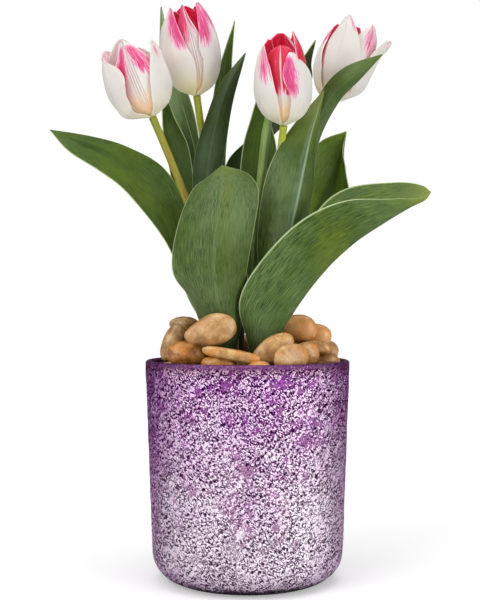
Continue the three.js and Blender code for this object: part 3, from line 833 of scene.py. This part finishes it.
def leafMaterial(name, tone, tip, ribLine, stripes):
    material, surface = newMaterial("leafSkin." + name, Roughness=0.48, Coat_Weight=0.03,
                                    Specular_IOR_Level=0.28)
    uv = put("UVMap")
    across, length, _ = parts(uv)
    seed = 0.37 * len(bpy.data.materials), 0.0, 0.0
    moved = vectorMaths("ADD", uv, seed)
    veins = noiseAt(stretched(moved, (46, 2.4, 1)), 1.6, 3, 0.6)
    fine = noiseAt(stretched(moved, (150, 13, 1)), 1.6, 4, 0.7)
    where = objectPlace()
    wax = noiseAt(vectorMaths("ADD", where, seed), 24, 3, 0.55)
    cloud = noiseAt(where, 38, 3, 0.5)
    light, middle, fresh, dark = leafTones[tone]
    skin = ramp(veins * 0.35 + wax * 0.65, [(0.38, fresh), (0.47, middle), (0.56, light)])
    # painted shade and painted highlights, and the rib colour of front_left_1, mixed in as bands along the
    # leaf
    for first, last, half, start, end, strength, colour in stripes:
        apart = abs(across - (length * (last - first) + first))
        band = remap(length, start, start + 0.14) * remap(length, end - 0.14, end, 1, 0)
        band = remap(apart, 0.2 * half, half, strength, 0) * band
        skin = mixColor(band, skin, colour)
    rib = abs(across - 0.5)
    dense = remap(cloud, 0.36, 0.58, 0.3, 1.0) + remap(rib, 0.2, 0.47, 0.0, 0.35)
    dense = maths("ADD", dense, remap(length, 0.2, 0.45, 0.4, 0.0), clamp=True)
    streak = remap(fine, 0.48, 0.54, 0.0, 0.9) * dense
    skin = mixColor(streak, skin, dark)
    skin = mixColor(remap(rib, 0.008, 0.035, 0.75, 0) * ribLine, skin, leaf["ribLine"])
    skin = mixColor(remap(length, 0.86 - 0.2 * tip, 1.02, 0, tip), skin, leaf["tip"])
    # painted shade: the leaves darken towards the soil
    skin = mixColor(remap(parts(where)[2], *leaf["shadeNearSoilBand"], 0.85, 0), skin, leaf["shadeNearSoil"])
    skin = mixColor(remap(rib, 0.488, 0.498, 0, 0.85), skin, leaf["edgeLine"])
    finishMaterial(surface, skin, veins + fine * 0.7, 0.35, 0.35)
    return material


def leafSheet(shape, u, v):
    tip = shape[3]
    a, b, c = (along([*line, tip], u)[:, None, :] for line in shape[:3])
    v = v[None, :, None]
    return b + (c - a) * v / 2 + ((a + c) / 2 - b) * v * v


def makeLeaf(name, shape):
    far, near, tip, ribLine, waves, *stripes = leafLooks[name]
    u = sheetEnd * np.linspace(0, 1, leaf["rows"])
    s = np.linspace(-1, 1, leaf["cols"])
    v = np.sign(s) * (1 - (1 - np.abs(s)) ** 1.25)
    grid = leafSheet(shape, u, v)
    normal = normalsOf(grid)
    seed = sum(map(ord, name)) % 17
    uu, vv = u[:, None], v[None, :]
    calm = ease(uu, 0.15, 0.4) * (1 - ease(uu, 0.8, 1.0))
    wave = leaf["wave"] * waves * calm * (
        np.abs(vv) ** 3 * np.sin(2 * math.pi * (3.1 * uu + 0.3 * seed + 0.2 * vv)) * 1.4
        + 0.3 * np.sin(9 * vv + 5 * uu + seed) + 0.12 * np.sin(31 * vv + seed))
    fold = 0.35 * np.exp(-((vv / 0.05) ** 2)) * ease(uu, 0.05, 0.3) * (1 - ease(uu, 0.85, 1.0))
    grid = grid + normal * (wave - fold)[..., None]
    thickness = leaf["thickness"] + (leaf["edge"] - leaf["thickness"]) * vv**2 + 0 * uu
    points, faces, uv = bladeParts(grid, thickness, (vv + 1) / 2, uu)
    sides = (leaf["rows"] - 1) * (leaf["cols"] - 1)
    finish = np.zeros(len(faces), int)
    finish[sides:] = 1  # the near side and the thin edges
    materials = [leafMaterial(name + side, tone, tip, ribLine, stripes)
                 for side, tone in ((".far", far), (".near", near))]
    thing = makeObject("leaf." + name, points, faces, materials, uv, finish)
    dress(thing, "leaf_" + name)


for name, shape in leaves.items():
    makeLeaf(name, shape)
print("leaves made,", len(leaves))

# blooms: three outer and three inner petals each, described about the bloom's own axis
# a flame is (place across, half width, start, end, strength) on the outside of a petal

petal = {
    "thickness": 1.0,
    "edge": 0.45,
    "rows": 84,
    "cols": 43,
    "tuck": 0.8,
    "white": (0.78, 0.765, 0.7),
    "cool": (0.735, 0.705, 0.655),
    "straw": (0.82, 0.73, 0.36),
    "tan": (0.86, 0.6, 0.33),
    "mauve": (0.42, 0.1, 0.19),
    "blush": (0.88, 0.52, 0.66),
    "pink": (0.8, 0.19, 0.4),
    "magenta": (0.68, 0.05, 0.22),
    "rose": (0.8, 0.08, 0.2),
    "crimson": (0.7, 0.012, 0.065),
    "wine": (0.62, 0.01, 0.045),
}

# a trim is (side, share taken off, then where along the petal it starts, is full, ends, is gone)

blooms = {
    "front_left": {
        "base": (-58, -18, 285), "lean": (-21, -4), "bulge": 18.6,
        "outer": [
            {"turn": -152, "foot": 0.74, "tip": 17.6, "length": 39, "bulge": 20.8, "full": 0.8,
             "trim": [(1, 0.4, 0.0, 0.2, 0.42, 0.7)],
             "flames": [(0, 0.9, 0.9, 1.2, 0.3)]},
            {"turn": -26, "tip": 17.5, "length": 40.5, "full": 0.54,
             "trim": [(-1, 0.26, 0.0, 0.16, 0.9, 1.0)], "flames": [(-0.15, 0.34, 0.68, 0.97, 0.6)]},
            {"turn": 108, "tip": 6, "length": 50, "full": 0.8, "inside": 0.16, "margin": 0.8},
        ],
        "inner": [
            {"turn": -94, "tip": 6.5, "length": 44.4, "skew": -4, "full": 0.8, "ribs": 3, "warm": 1.0,
             "trim": [(-1, 0.5, 0.62, 0.85, 1.1, 1.2), (1, 0.25, 0.7, 0.9, 1.1, 1.2)],
             "margin": 0.8, "red": 0.25,
             "flames": [(-0.42, 0.3, 0.46, 0.97, 1.15), (0.5, 0.4, 0.5, 0.97, 0.95)]},
            {"turn": 45, "tip": 10, "length": 40, "inside": 0.2},
            {"turn": 150, "tip": 15.4, "length": 45.4, "full": 1.05, "inside": 0.2, "margin": 0.8},
        ],
    },
    "back_left": {
        "base": (-32, 10, 303), "lean": (-8.5, 0), "bulge": 18.4,
        "outer": [
            {"turn": -139, "tip": 11, "length": 54, "bulge": 19.4, "straw": 0.9,
             "trim": [(1, 0.1, 0.45, 0.65, 0.9, 1.0)],
             "flames": [(0.8, 0.5, 0.5, 1.3, 1.05), (0, 0.5, 0.86, 1.2, 0.4)]},
            {"turn": -26, "tip": 11, "length": 55.2, "skew": -10, "full": 0.6, "straw": 0.7,
             "trim": [(-1, 0.42, 0.0, 0.12, 0.42, 0.7), (-1, 0.24, 0.5, 0.68, 1.1, 1.2)],
             "flames": [(-0.7, 0.7, 0.5, 1.3, 1.05), (0.15, 0.5, 0.64, 1.3, 0.9)]},
            {"turn": 90, "tip": 5, "length": 57.2, "full": 1.0, "margin": 0.1},
        ],
        "inner": [
            {"turn": -67, "tip": 7, "length": 53.3, "skew": -28, "full": 0.36, "ribs": 3, "warm": 1.1,
             "trim": [(1, 0.6, 0.2, 0.45, 1.05, 1.2)], "margin": 0.1, "red": 0.6,
             "flames": [(-0.6, 0.7, 0.5, 1.4, 1.1), (0.5, 0.5, 0.62, 1.4, 0.9)]},
            {"turn": 34, "tip": 8, "length": 54, "full": 1.05, "margin": 0.1},
            {"turn": 150, "tip": 8, "length": 53, "full": 1.05, "margin": 0.1},
        ],
    },
    "front_right": {
        "base": (22, -17, 280), "lean": (-1, -6), "bulge": 17,
        "outer": [
            {"turn": -150, "tip": 13.5, "length": 46, "bulge": 18,
             "trim": [(1, 0.16, 0.0, 0.14, 0.8, 1.0)],
             "flames": [(0.5, 0.42, 0.5, 1.1, 0.75), (0.9, 0.2, 0.55, 1.2, 0.6)]},
            {"turn": -37, "tip": 11, "length": 41, "skew": -28, "full": 0.6,
             "trim": [(-1, 0.46, 0.0, 0.1, 0.46, 0.8)], "flames": [(-0.75, 0.5, 0.4, 0.97, 1.1)]},
            {"turn": 100, "tip": 6, "length": 54.5, "full": 0.98, "margin": 0.6},
        ],
        "inner": [
            {"turn": -92, "tip": 5.5, "length": 44, "skew": -12, "full": 1.2, "ribs": 1, "warm": 1.1,
             "flames": [(-0.5, 1.1, 0.38, 1.5, 1.3), (0.5, 1.1, 0.38, 1.5, 1.3)]},
            {"turn": 16, "tip": 6.5, "length": 53, "bulge": 17.6, "full": 0.92,
             "flames": [(0, 1.4, 0.42, 1.3, 1.5)]},
            {"turn": 150, "tip": 9, "length": 49, "margin": 0.6},
        ],
    },
    "back_right": {
        "base": (54, 30, 302), "lean": (22, 0), "bulge": 17.6,
        "outer": [
            {"turn": -102, "tip": 14, "length": 54, "skew": -32, "foot": 0.52, "full": 0.68,
             "edgeLine": -1, "straw": 0.75,
             "trim": [(-1, 0.06, 0.4, 0.6, 0.85, 1.0), (1, 0.56, 0.0, 0.08, 0.28, 0.5)],
             "flames": [(0.1, 0.4, 0.9, 1.2, 0.6), (0.8, 0.24, 0.76, 1.2, 0.9)]},
            {"turn": -14, "tip": 22.2, "length": 49, "bulge": 17.8, "full": 0.95, "foot": 0.44,
             "trim": [(-1, 0.64, 0.0, 0.1, 0.28, 0.48), (-1, 0.42, 0.42, 0.62, 0.8, 0.98)],
             "flames": [(-0.3, 0.5, 0.8, 1.2, 0.62)], "inside": 0.5},
            {"turn": 125, "tip": 12, "length": 46},
        ],
        "inner": [
            {"turn": 168, "tip": 14, "length": 47, "bulge": 22, "straw": 0.4,
             "red": 0.6, "flames": [(0.6, 0.5, 0.62, 1.3, 1.3)]},
            {"turn": -45, "tip": 10, "length": 52, "edgeLine": 1, "warm": 0.9, "red": 0.1,
             "flames": [(-0.1, 0.55, 0.62, 1.2, 0.65)]},
            {"turn": 105, "tip": 5, "length": 50.8},
        ],
    },
}

plainFlames = [(-0.6, 0.36, 0.5, 1.0, 0.85), (0.6, 0.36, 0.5, 1.0, 0.85)]


def petalMaterial():
    material, surface = newMaterial(
        "petalSkin", Roughness=0.48, Sheen_Weight=0.03, Subsurface_Weight=0.3, Specular_IOR_Level=0.35,
        Subsurface_Radius=(1.0, 0.7, 0.6), Subsurface_Scale=0.003)
    shift = put("Attribute", output="Vector", attribute_name="shift")
    seeded = vectorMaths("ADD", put("UVMap"), shift)
    amounts = {}
    for key in ("blush", "red", "cream", "mauve", "warm", "straw", "paintedGlow"):
        amounts[key] = put("Attribute", output="Fac", attribute_name=key)
    slanted = put("Mapping", {"Vector": seeded, "Rotation": (0, 0, 0.12), "Scale": (24, 3.6, 1)})
    feather = noiseAt(slanted, 1.5, 4, 0.65)
    fine = noiseAt(stretched(seeded, (74, 7, 1)), 1.5, 3, 0.6)
    cloud = noiseAt(objectPlace(), 60, 2)
    skin = ramp(cloud, [(0.35, petal["cool"]), (0.65, petal["white"])])
    skin = mixColor(amounts["straw"], skin, petal["straw"])
    skin = mixColor(amounts["warm"], skin, petal["tan"])
    skin = mixColor(remap(fine, 0.5, 0.72) * 0.1, skin, petal["mauve"])
    spread = (feather - 0.5) * 2.3 + (fine - 0.5) * 2.6
    level = (amounts["blush"] + spread * remap(amounts["blush"], 0.0, 0.35)) * 0.7
    cool = ramp(level, [(0.08, petal["white"]), (0.22, petal["blush"]), (0.42, petal["pink"]),
                        (0.7, petal["magenta"])])
    hot = ramp(level, [(0.08, petal["white"]), (0.2, petal["blush"]), (0.34, petal["rose"]),
                       (0.52, petal["crimson"]), (0.9, petal["wine"])])
    flame = mixColor(amounts["red"], cool, hot)
    skin = mixColor(remap(level, 0.06, 0.24), skin, flame)
    skin = mixColor(amounts["mauve"], skin, petal["mauve"])
    skin = mixColor(amounts["cream"], skin, petal["white"])
    feed(surface["Emission Color"], skin)  # painted glow: the petal emits its own colour in place of the light that comes through the thin petal
    feed(surface["Emission Strength"], amounts["paintedGlow"])
    finishMaterial(surface, skin, feather + fine * 0.8, 0.3, 0.3)
    return material


def petalSheet(spec, u, v):
    tip, length, bulge, width = (spec[key] for key in ("tip", "length", "bulge", "width"))
    rib = [(2.0, -1.3), (spec.get("foot", 0.62) * bulge, 0.08 * length), (0.91 * bulge, 0.26 * length),
           (bulge, 0.48 * length), (0.7 * bulge + 0.3 * tip, 0.76 * length), (tip, length)]
    full = spec.get("full", 0.64)
    shares = (0.7, 1, 0.98, 1.16 * full, 0.6 * full)
    line = along(rib, u)
    radius, height = line[:, :1], line[:, 1:]
    half = along([(1.6,), *((share * width,) for share in shares)], u) * np.sqrt(1 - u[:, None] ** 4.5)
    start = u[:, None]
    curl = np.maximum(np.maximum(radius, 0.6 * bulge * np.minimum(1, 3 * start)), 1.6)
    v = v[None, :]
    for side, share, low, on, high, off in spec.get("trim", ()):
        window = ease(start, low, on) * (1 - ease(start, high, off))
        v = v * (1 - share * window * (v * side > 0))
    angle = v * half / curl
    facing = np.radians(spec["turn"] + spec.get("skew", 0) * start**2)
    out = radius + petal["tuck"] * v - curl + curl * np.cos(angle)
    side = curl * np.sin(angle)
    x = out * np.cos(facing) - side * np.sin(facing)
    y = out * np.sin(facing) + side * np.cos(facing)
    return np.stack([x, y, height + spec["rise"] + 0 * v], 2)


def petalPattern(spec, u, v, inner):
    rim = np.abs(v)
    flames = spec.get("flames", plainFlames)
    outside = 0 * u * v
    for place, width, start, end, strength in flames:
        spread = width * (0.4 + 0.6 * ease(u, start, start + 0.35))
        flame = strength * ease(u, start, start + 0.22) * (1 - ease(u, end - 0.08, end + 0.04))
        outside = np.maximum(outside, flame * np.exp(-(((v - place) / spread) ** 2)))
    pale = spec.get("margin", 0.3)
    outside = outside * (1 - 0.5 * ease(rim, 0.93, 1.0)) * (1 - pale * ease(u, 0.86, 0.97))
    if "edgeLine" in spec:
        edge = ease(spec["edgeLine"] * v, 0.84, 0.93)
        outside = np.maximum(outside, 0.95 * edge * ease(u, 0.3, 0.5))
    inside = spec.get("inside", 1.0) * ease(u, 0.28, 0.5) * (1 - 0.5 * ease(rim, 0.9, 1.0))
    inside = inside * (1 - pale * ease(rim, 0.6, 1.0)) + 0 * v
    ribs = spec.get("ribs", 0)
    pitch = 0.085
    reach = pitch * (ribs - 1) / 2
    within = 1 - ease(rim, reach + 0.02, reach + 0.045) if ribs else 0 * rim
    cycle = np.cos(2 * math.pi * rim / pitch) if ribs > 1 else np.cos(math.pi * rim / 0.06)
    shown = within * ease(u, 0.12, 0.3) * (1 - 0.5 * ease(u, 0.85, 1.0))
    cream = np.clip(cycle, 0, 1) * shown * 0.9
    mauve = np.sqrt(np.clip(-cycle, 0, 1)) * shown * (0.7 + 0.3 * ease(u, 0.35, 0.6))
    mauve = mauve * (1 if ribs > 1 else 0.5)
    base = 1 - ease(u, 0.2, 0.48)
    middle = np.exp(-((v / 0.3) ** 2))
    warm = spec.get("warm", 0.35 if inner else 0.0) * base * (0.55 + 0.45 * middle)
    straw = spec.get("straw", 0.25 if inner else 0.45) * (1 - ease(u, 0.0, 0.46)) + 0 * v
    nothing = 0 * outside
    # painted glow on the outside, strongest at the foot of the petal
    glow = (0.2 if inner else 0.12) * (1 - ease(u, 0.1, 0.8 if inner else 0.5))
    red = spec.get("red", 1.0 if inner else 0.1)
    both = {  # each is (inside, outside)
        "blush": (inside, outside),
        "red": (nothing + spec.get("inside", 1.0), nothing + red),
        "cream": (nothing, cream),
        "mauve": (nothing, mauve),
        "paintedGlow": (0.16 * ease(u, 0.28, 0.5) + nothing, glow + nothing),
        "warm": (0.5 * base + nothing, warm + nothing),
        "straw": (0.4 * base + nothing, straw),
    }
    return {key: np.concatenate([a.ravel(), b.ravel()]) for key, (a, b) in both.items()}, within * cycle


def petalParts(spec, inner, seed):
    u = sheetEnd * (1 - (1 - np.linspace(0, 1, petal["rows"])) ** 1.25)
    s = np.linspace(-1, 1, petal["cols"])
    v = np.sign(s) * np.abs(s) ** 1.3
    grid = petalSheet(spec, u, v)
    normal = normalsOf(grid)  # points to the bloom's axis
    uu, vv = u[:, None], v[None, :]
    values, ridge = petalPattern(spec, uu, vv, inner)
    calm = ease(uu, 0.25, 0.6) * (1 - 0.6 * ease(uu, 0.9, 1.0))
    wave = calm * (0.5 * np.abs(vv) ** 4 * np.sin(2 * math.pi * (2.6 * uu + 0.37 * seed))
                   + 0.22 * np.sin(7.5 * vv + 1.3 * seed + 1.5 * uu) * (1 - np.abs(vv)))
    furrow = 0.22 * np.exp(-((vv / 0.05) ** 2)) * ease(uu, 0.1, 0.4) - 0.34 * ridge * ease(uu, 0.1, 0.3)
    grid = grid + normal * (wave + furrow)[..., None]
    thickness = petal["thickness"] + (petal["edge"] - petal["thickness"]) * vv**2 + 0 * uu
    points, faces, uv = bladeParts(grid, thickness, (vv + 1) / 2, uu)
    return points, faces, uv, values


def bloomMatrix(spec):
    lean = turned(spec["lean"][0], "Y") @ turned(-spec["lean"][1], "X")
    return np.array(lean), np.array(spec["base"], float)


def joined(pieces, spec):
    # each piece is its points about the bloom's axis, its faces and the index of its material
    allFaces, finish, count = [], [], 0
    for points, faces, index in pieces:
        allFaces += [[k + count for k in face] for face in faces]
        finish += [index] * len(faces)
        count += len(points)
    turn, base = bloomMatrix(spec)
    return np.vstack([piece[0] for piece in pieces]) @ turn.T + base, allFaces, finish


def makeBloom(name, spec, materials):
    pieces, allUv, seed = [], [], 0
    values = {key: [] for key in ("blush", "red", "cream", "mauve", "warm", "straw", "paintedGlow", "shift")}
    for whorl, inset, rise in (("outer", 0, 1.6), ("inner", 2.7, 3.2)):
        for each in spec[whorl]:
            bulge = each.get("bulge", spec["bulge"]) - inset
            full = {**each, "bulge": bulge, "rise": rise, "width": 0.98 * spec["bulge"]}
            seed += 1
            points, faces, uv, amounts = petalParts(full, whorl == "inner", seed + len(name))
            pieces.append((points, faces.tolist(), 0))
            allUv.append(uv)
            for key, amount in amounts.items():
                values[key].append(amount)
            values["shift"].append(np.full(len(points), 1.7 * seed + 0.9 * len(name)))
    points, faces = turnedParts(heart["receptacle"], 36)
    pieces.append((points, faces, 1))
    allUv.append(np.zeros((len(points), 2)))
    for key in values:
        values[key].append(np.zeros(len(points)))
    points, faces, finish = joined(pieces, spec)
    attributes = {key: np.concatenate(amounts) for key, amounts in values.items()}
    thing = makeObject("bloom." + name, points, faces, materials, np.vstack(allUv), finish, attributes)
    dress(thing, "bloom_" + name)


heart = {
    "floor": 6.6,
    "stamens": 6,
    "receptacleTone": (0.6, 0.58, 0.26),
    "receptacle": [(0, -0.2), (2.2, -0.2), (2.4, 1.2), (3.2, 2.6), (4.6, 4.4), (4.8, 5.6), (0, 6.2)],
    "pistil": (0.5, 0.52, 0.2),
    "pollen": (0.1, 0.05, 0.08),
}


def heartMaterial(name, tone):
    material, surface = newMaterial(name, Roughness=0.7)
    grain = noiseAt(objectPlace(), 900, 3)
    pale = tuple(min(1, 1.5 * c) for c in tone)
    finishMaterial(surface, ramp(grain, [(0.35, tone), (0.7, pale)]), grain, 0.5, 0.3)
    return material


def makeHeart(name, spec, materials):
    floor = heart["floor"]
    column = [(4.4, floor), (2.4, floor + 2), (2.1, floor + 7), (2.3, floor + 11.5), (3.3, floor + 14),
              (2.2, floor + 15)]
    column = along(column, np.linspace(0, 1, 30))
    points, faces = turnedParts([(0, floor), *column, (0, floor + 14.6)], 36)
    angle = np.arctan2(points[:, 1], points[:, 0])
    lobed = 1 - 0.14 * (1 + np.cos(3 * angle)) * ease(points[:, 2], floor + 10, floor + 14)
    points[:, :2] *= lobed[:, None]
    pieces = [(points, faces, 0)]
    stamen = [(0.01, 0), (0.75, 0.3), (0.7, 3.5), (1.25, 5.5), (1.3, 9), (0.9, 13), (0.05, 15)]
    stamen = along(stamen, np.linspace(0, 1, 24))
    for i in range(heart["stamens"]):
        points, faces = turnedParts([(0, 0), *stamen, (0, 15)], 14)
        around = turned(360 / heart["stamens"] * i, "Z", 4)
        place = np.array(around @ Matrix.Translation((3.6, 0, floor + 0.5)) @ turned(14, "Y", 4))
        pieces.append((points @ place[:3, :3].T + place[:3, 3], faces, 1))
    points, faces, finish = joined(pieces, spec)
    thing = makeObject("heart." + name, points, faces, materials, faceMaterial=finish)
    dress(thing, "heart_" + name)


petalSkins = [petalMaterial(), heartMaterial("receptacle", heart["receptacleTone"])]
heartSkins = [heartMaterial("pistilSkin", heart["pistil"]), heartMaterial("pollenDust", heart["pollen"])]
for name, spec in blooms.items():
    makeBloom(name, spec, petalSkins)
    makeHeart(name, spec, heartSkins)
print("blooms made,", len(blooms))

# river pebbles

stoneKinds = {  # light, middle, dark, and the warm stain of a stone
    "paleTan": ((0.68, 0.43, 0.19), (0.52, 0.29, 0.1), (0.32, 0.15, 0.04), (0.56, 0.24, 0.06)),
    "orange": ((0.72, 0.36, 0.09), (0.48, 0.18, 0.03), (0.14, 0.045, 0.008), (0.72, 0.25, 0.02)),
    "olive": ((0.68, 0.43, 0.18), (0.47, 0.26, 0.09), (0.2, 0.085, 0.02), (0.48, 0.2, 0.045)),
    "peach": ((0.74, 0.46, 0.21), (0.58, 0.31, 0.11), (0.38, 0.17, 0.045), (0.68, 0.27, 0.05)),
    "smooth": ((0.86, 0.48, 0.18), (0.74, 0.34, 0.1), (0.54, 0.21, 0.05), (0.8, 0.31, 0.07)),
    "layered": ((0.76, 0.45, 0.18), (0.54, 0.27, 0.07), (0.28, 0.11, 0.025), (0.7, 0.26, 0.03)),
    "gold": ((0.74, 0.46, 0.18), (0.56, 0.3, 0.09), (0.28, 0.12, 0.03), (0.68, 0.26, 0.03)),
}

stones = [
    # centre, half length, half depth, half height, turn about Z, tilt, the kind of stone,
    # how boxy it is, how much its low-X end narrows
    (-39.4, 0, 158, 9.4, 5.6, 5.2, 0, 5, "olive", 0.04, 0.1),
    (-22.0, -41, 155.4, 17.2, 6.6, 9.6, 0, -15, "paleTan", 0.04, 0.42),
    (-45.6, -16, 146.5, 6.8, 6.5, 13.2, 0, 22, "olive", 0.04, 0),
    (-37.3, -31, 141.4, 11, 7, 8, 0, 4, "orange", 0.07, 0.1),
    (-9.9, -51, 141.6, 17.2, 4.8, 3.5, -2, 10, "gold", 0.12, 0),
    (-17.4, -46.5, 136.0, 10.4, 6.4, 5.2, 0, 3, "orange", 0.06, 0),
    (-3.5, -50, 131.4, 6, 6, 4.4, 0, 0, "olive", 0.05, 0),
    (6.6, -54, 133.9, 6.8, 4.5, 4.0, 0, 0, "peach", 0.04, 0),
    (14.6, -42.4, 144.4, 13.8, 4.2, 7.8, 5, -33, "gold", 0.06, 0.2),
    (25.4, -49, 140.2, 12.6, 4, 8.6, 28, -8, "peach", 0.04, 0.1),
    (35.6, -32, 140.8, 7.4, 6, 7.9, 20, 0, "peach", 0.05, 0),
    (30.8, -9, 156.3, 11.2, 6, 8.8, 0, 8, "smooth", 0.04, 0.1),
    (43.4, 1, 151.6, 9.6, 6, 6.8, 0, 14, "smooth", 0.04, 0),
    (43.4, -16, 144.2, 9.2, 6, 4.4, 0, 9, "layered", 0.04, 0),
    (48, -11, 136.2, 9.6, 7, 5.4, 0, 6, "layered", 0.04, 0),
    (-46, 8, 128.5, 12, 8, 8, 80, 0, "paleTan", 0.08, 0),
    (-39, -3, 142.6, 8, 6.5, 9.4, 0, 0, "smooth", 0.08, 0),
    (-38, 33, 128.5, 13, 8.5, 8.5, 40, 0, "orange", 0.08, 0),
    (-18, 48, 128.5, 12, 8.5, 8.5, 18, 0, "peach", 0.08, 0),
    (8, 50, 129, 13, 8.5, 8.5, -8, 0, "olive", 0.08, 0),
    (32, 39, 129, 12, 8.5, 8.5, -38, 0, "paleTan", 0.08, 0),
    (47, 17, 128, 13, 8, 8.5, -70, 0, "layered", 0.08, 0),
    (-46.4, 22, 139.8, 11.5, 7.5, 7.6, 65, 6, "peach", 0.06, 0),
    (-29, 42, 143.5, 13, 8, 8, 35, 6, "paleTan", 0.06, 0.1),
    (-6, 50, 143, 13, 8, 8, 6, 6, "orange", 0.06, 0),
    (20, 47, 143.5, 13, 8, 8, -22, 6, "paleTan", 0.06, 0.1),
    (40, 30, 143, 12, 8, 8, -55, 6, "smooth", 0.06, 0),
    (51, 10, 141.5, 10, 6.5, 6.5, -80, 6, "peach", 0.06, 0),
    (1, 4, 130, 10, 10, 8.5, 0, 0, "olive", 0.08, 0),
]


def stoneMaterial(kind):
    light, middle, dark, stain = stoneKinds[kind]
    material, surface = newMaterial("stone." + kind, Roughness=0.34, Coat_Weight=0.4, Coat_Roughness=0.2)
    where = objectPlace()
    cloud = noiseAt(where, {"smooth": 60}.get(kind, 150), 5, 0.68)
    skin = ramp(cloud, [(0.34, dark), (0.48, middle), (0.62, light)])
    bands = {"Vector": where, "Scale": 55, "Distortion": 7, "Detail": 3, "Detail Scale": 2}
    bands = put("TexWave", bands, "Fac", bands_direction="DIAGONAL")
    layer = {"layered": 0.5, "smooth": 0.1}.get(kind, 0.12)
    skin = mixColor(remap(bands, 0.6, 0.95) * layer, skin, dark)
    patch = remap(noiseAt(vectorMaths("ADD", where, (0.31, 0.7, 0.2)), 85, 4), 0.54, 0.64, 0, 0.8)
    skin = mixColor(patch, skin, stain)
    grit = noiseAt(where, 620, 3, 0.7)
    skin = mixColor(remap(grit, 0.6, 0.68, 0, {"smooth": 0.3}.get(kind, 0.75)), skin, dark)
    veins = put("TexVoronoi", {"Vector": where, "Scale": 120}, feature="DISTANCE_TO_EDGE")
    crack = remap(veins, 0.0, 0.05, 1, 0) * remap(cloud, 0.42, 0.55, 0, 0.14)
    skin = mixColor(crack, skin, dark)
    finishMaterial(surface, skin, cloud + grit * 0.3, 0.7, 1.0)
    return material


def makeStone(index, row, materials):
    x, y, z, length, depth, height, turn, tilt, kind, boxy, narrow = row
    build = bmesh.new()
    bmesh.ops.create_icosphere(build, subdivisions=5, radius=1)
    points = np.array([v.co for v in build.verts])
    faces = [[v.index for v in f.verts] for f in build.faces]
    build.free()
    seed = index + 1
    swell = (np.sin(2.3 * points[:, 0] + seed) + np.sin(2.7 * points[:, 1] + 1.7 * seed)
             + np.sin(2.1 * points[:, 2] + 2.3 * seed))
    points = points * ((points**4).sum(1) ** -boxy * (0.98 + 0.04 * swell))[:, None]
    points[:, 1:] *= 1 - narrow * ease(-points[:, :1], -0.4, 1.1)
    rough = np.array([noise.noise(Vector(p) * 3.1 + Vector((seed, 0, 0))) for p in points])
    points = points * (1 + {"smooth": 0.01}.get(kind, 0.03) * rough)[:, None] * (length, depth, height)
    place = np.array(turned(turn, "Z") @ turned(tilt, "Y"))
    thing = makeObject(f"stone.{seed:02d}", points @ place.T + (x, y, z), faces, [materials[kind]])
    dress(thing, f"pebble_{seed:02d}")


stoneSkins = {kind: stoneMaterial(kind) for kind in stoneKinds}
for index, row in enumerate(stones):
    makeStone(index, row, stoneSkins)
print("stones made,", len(stones))
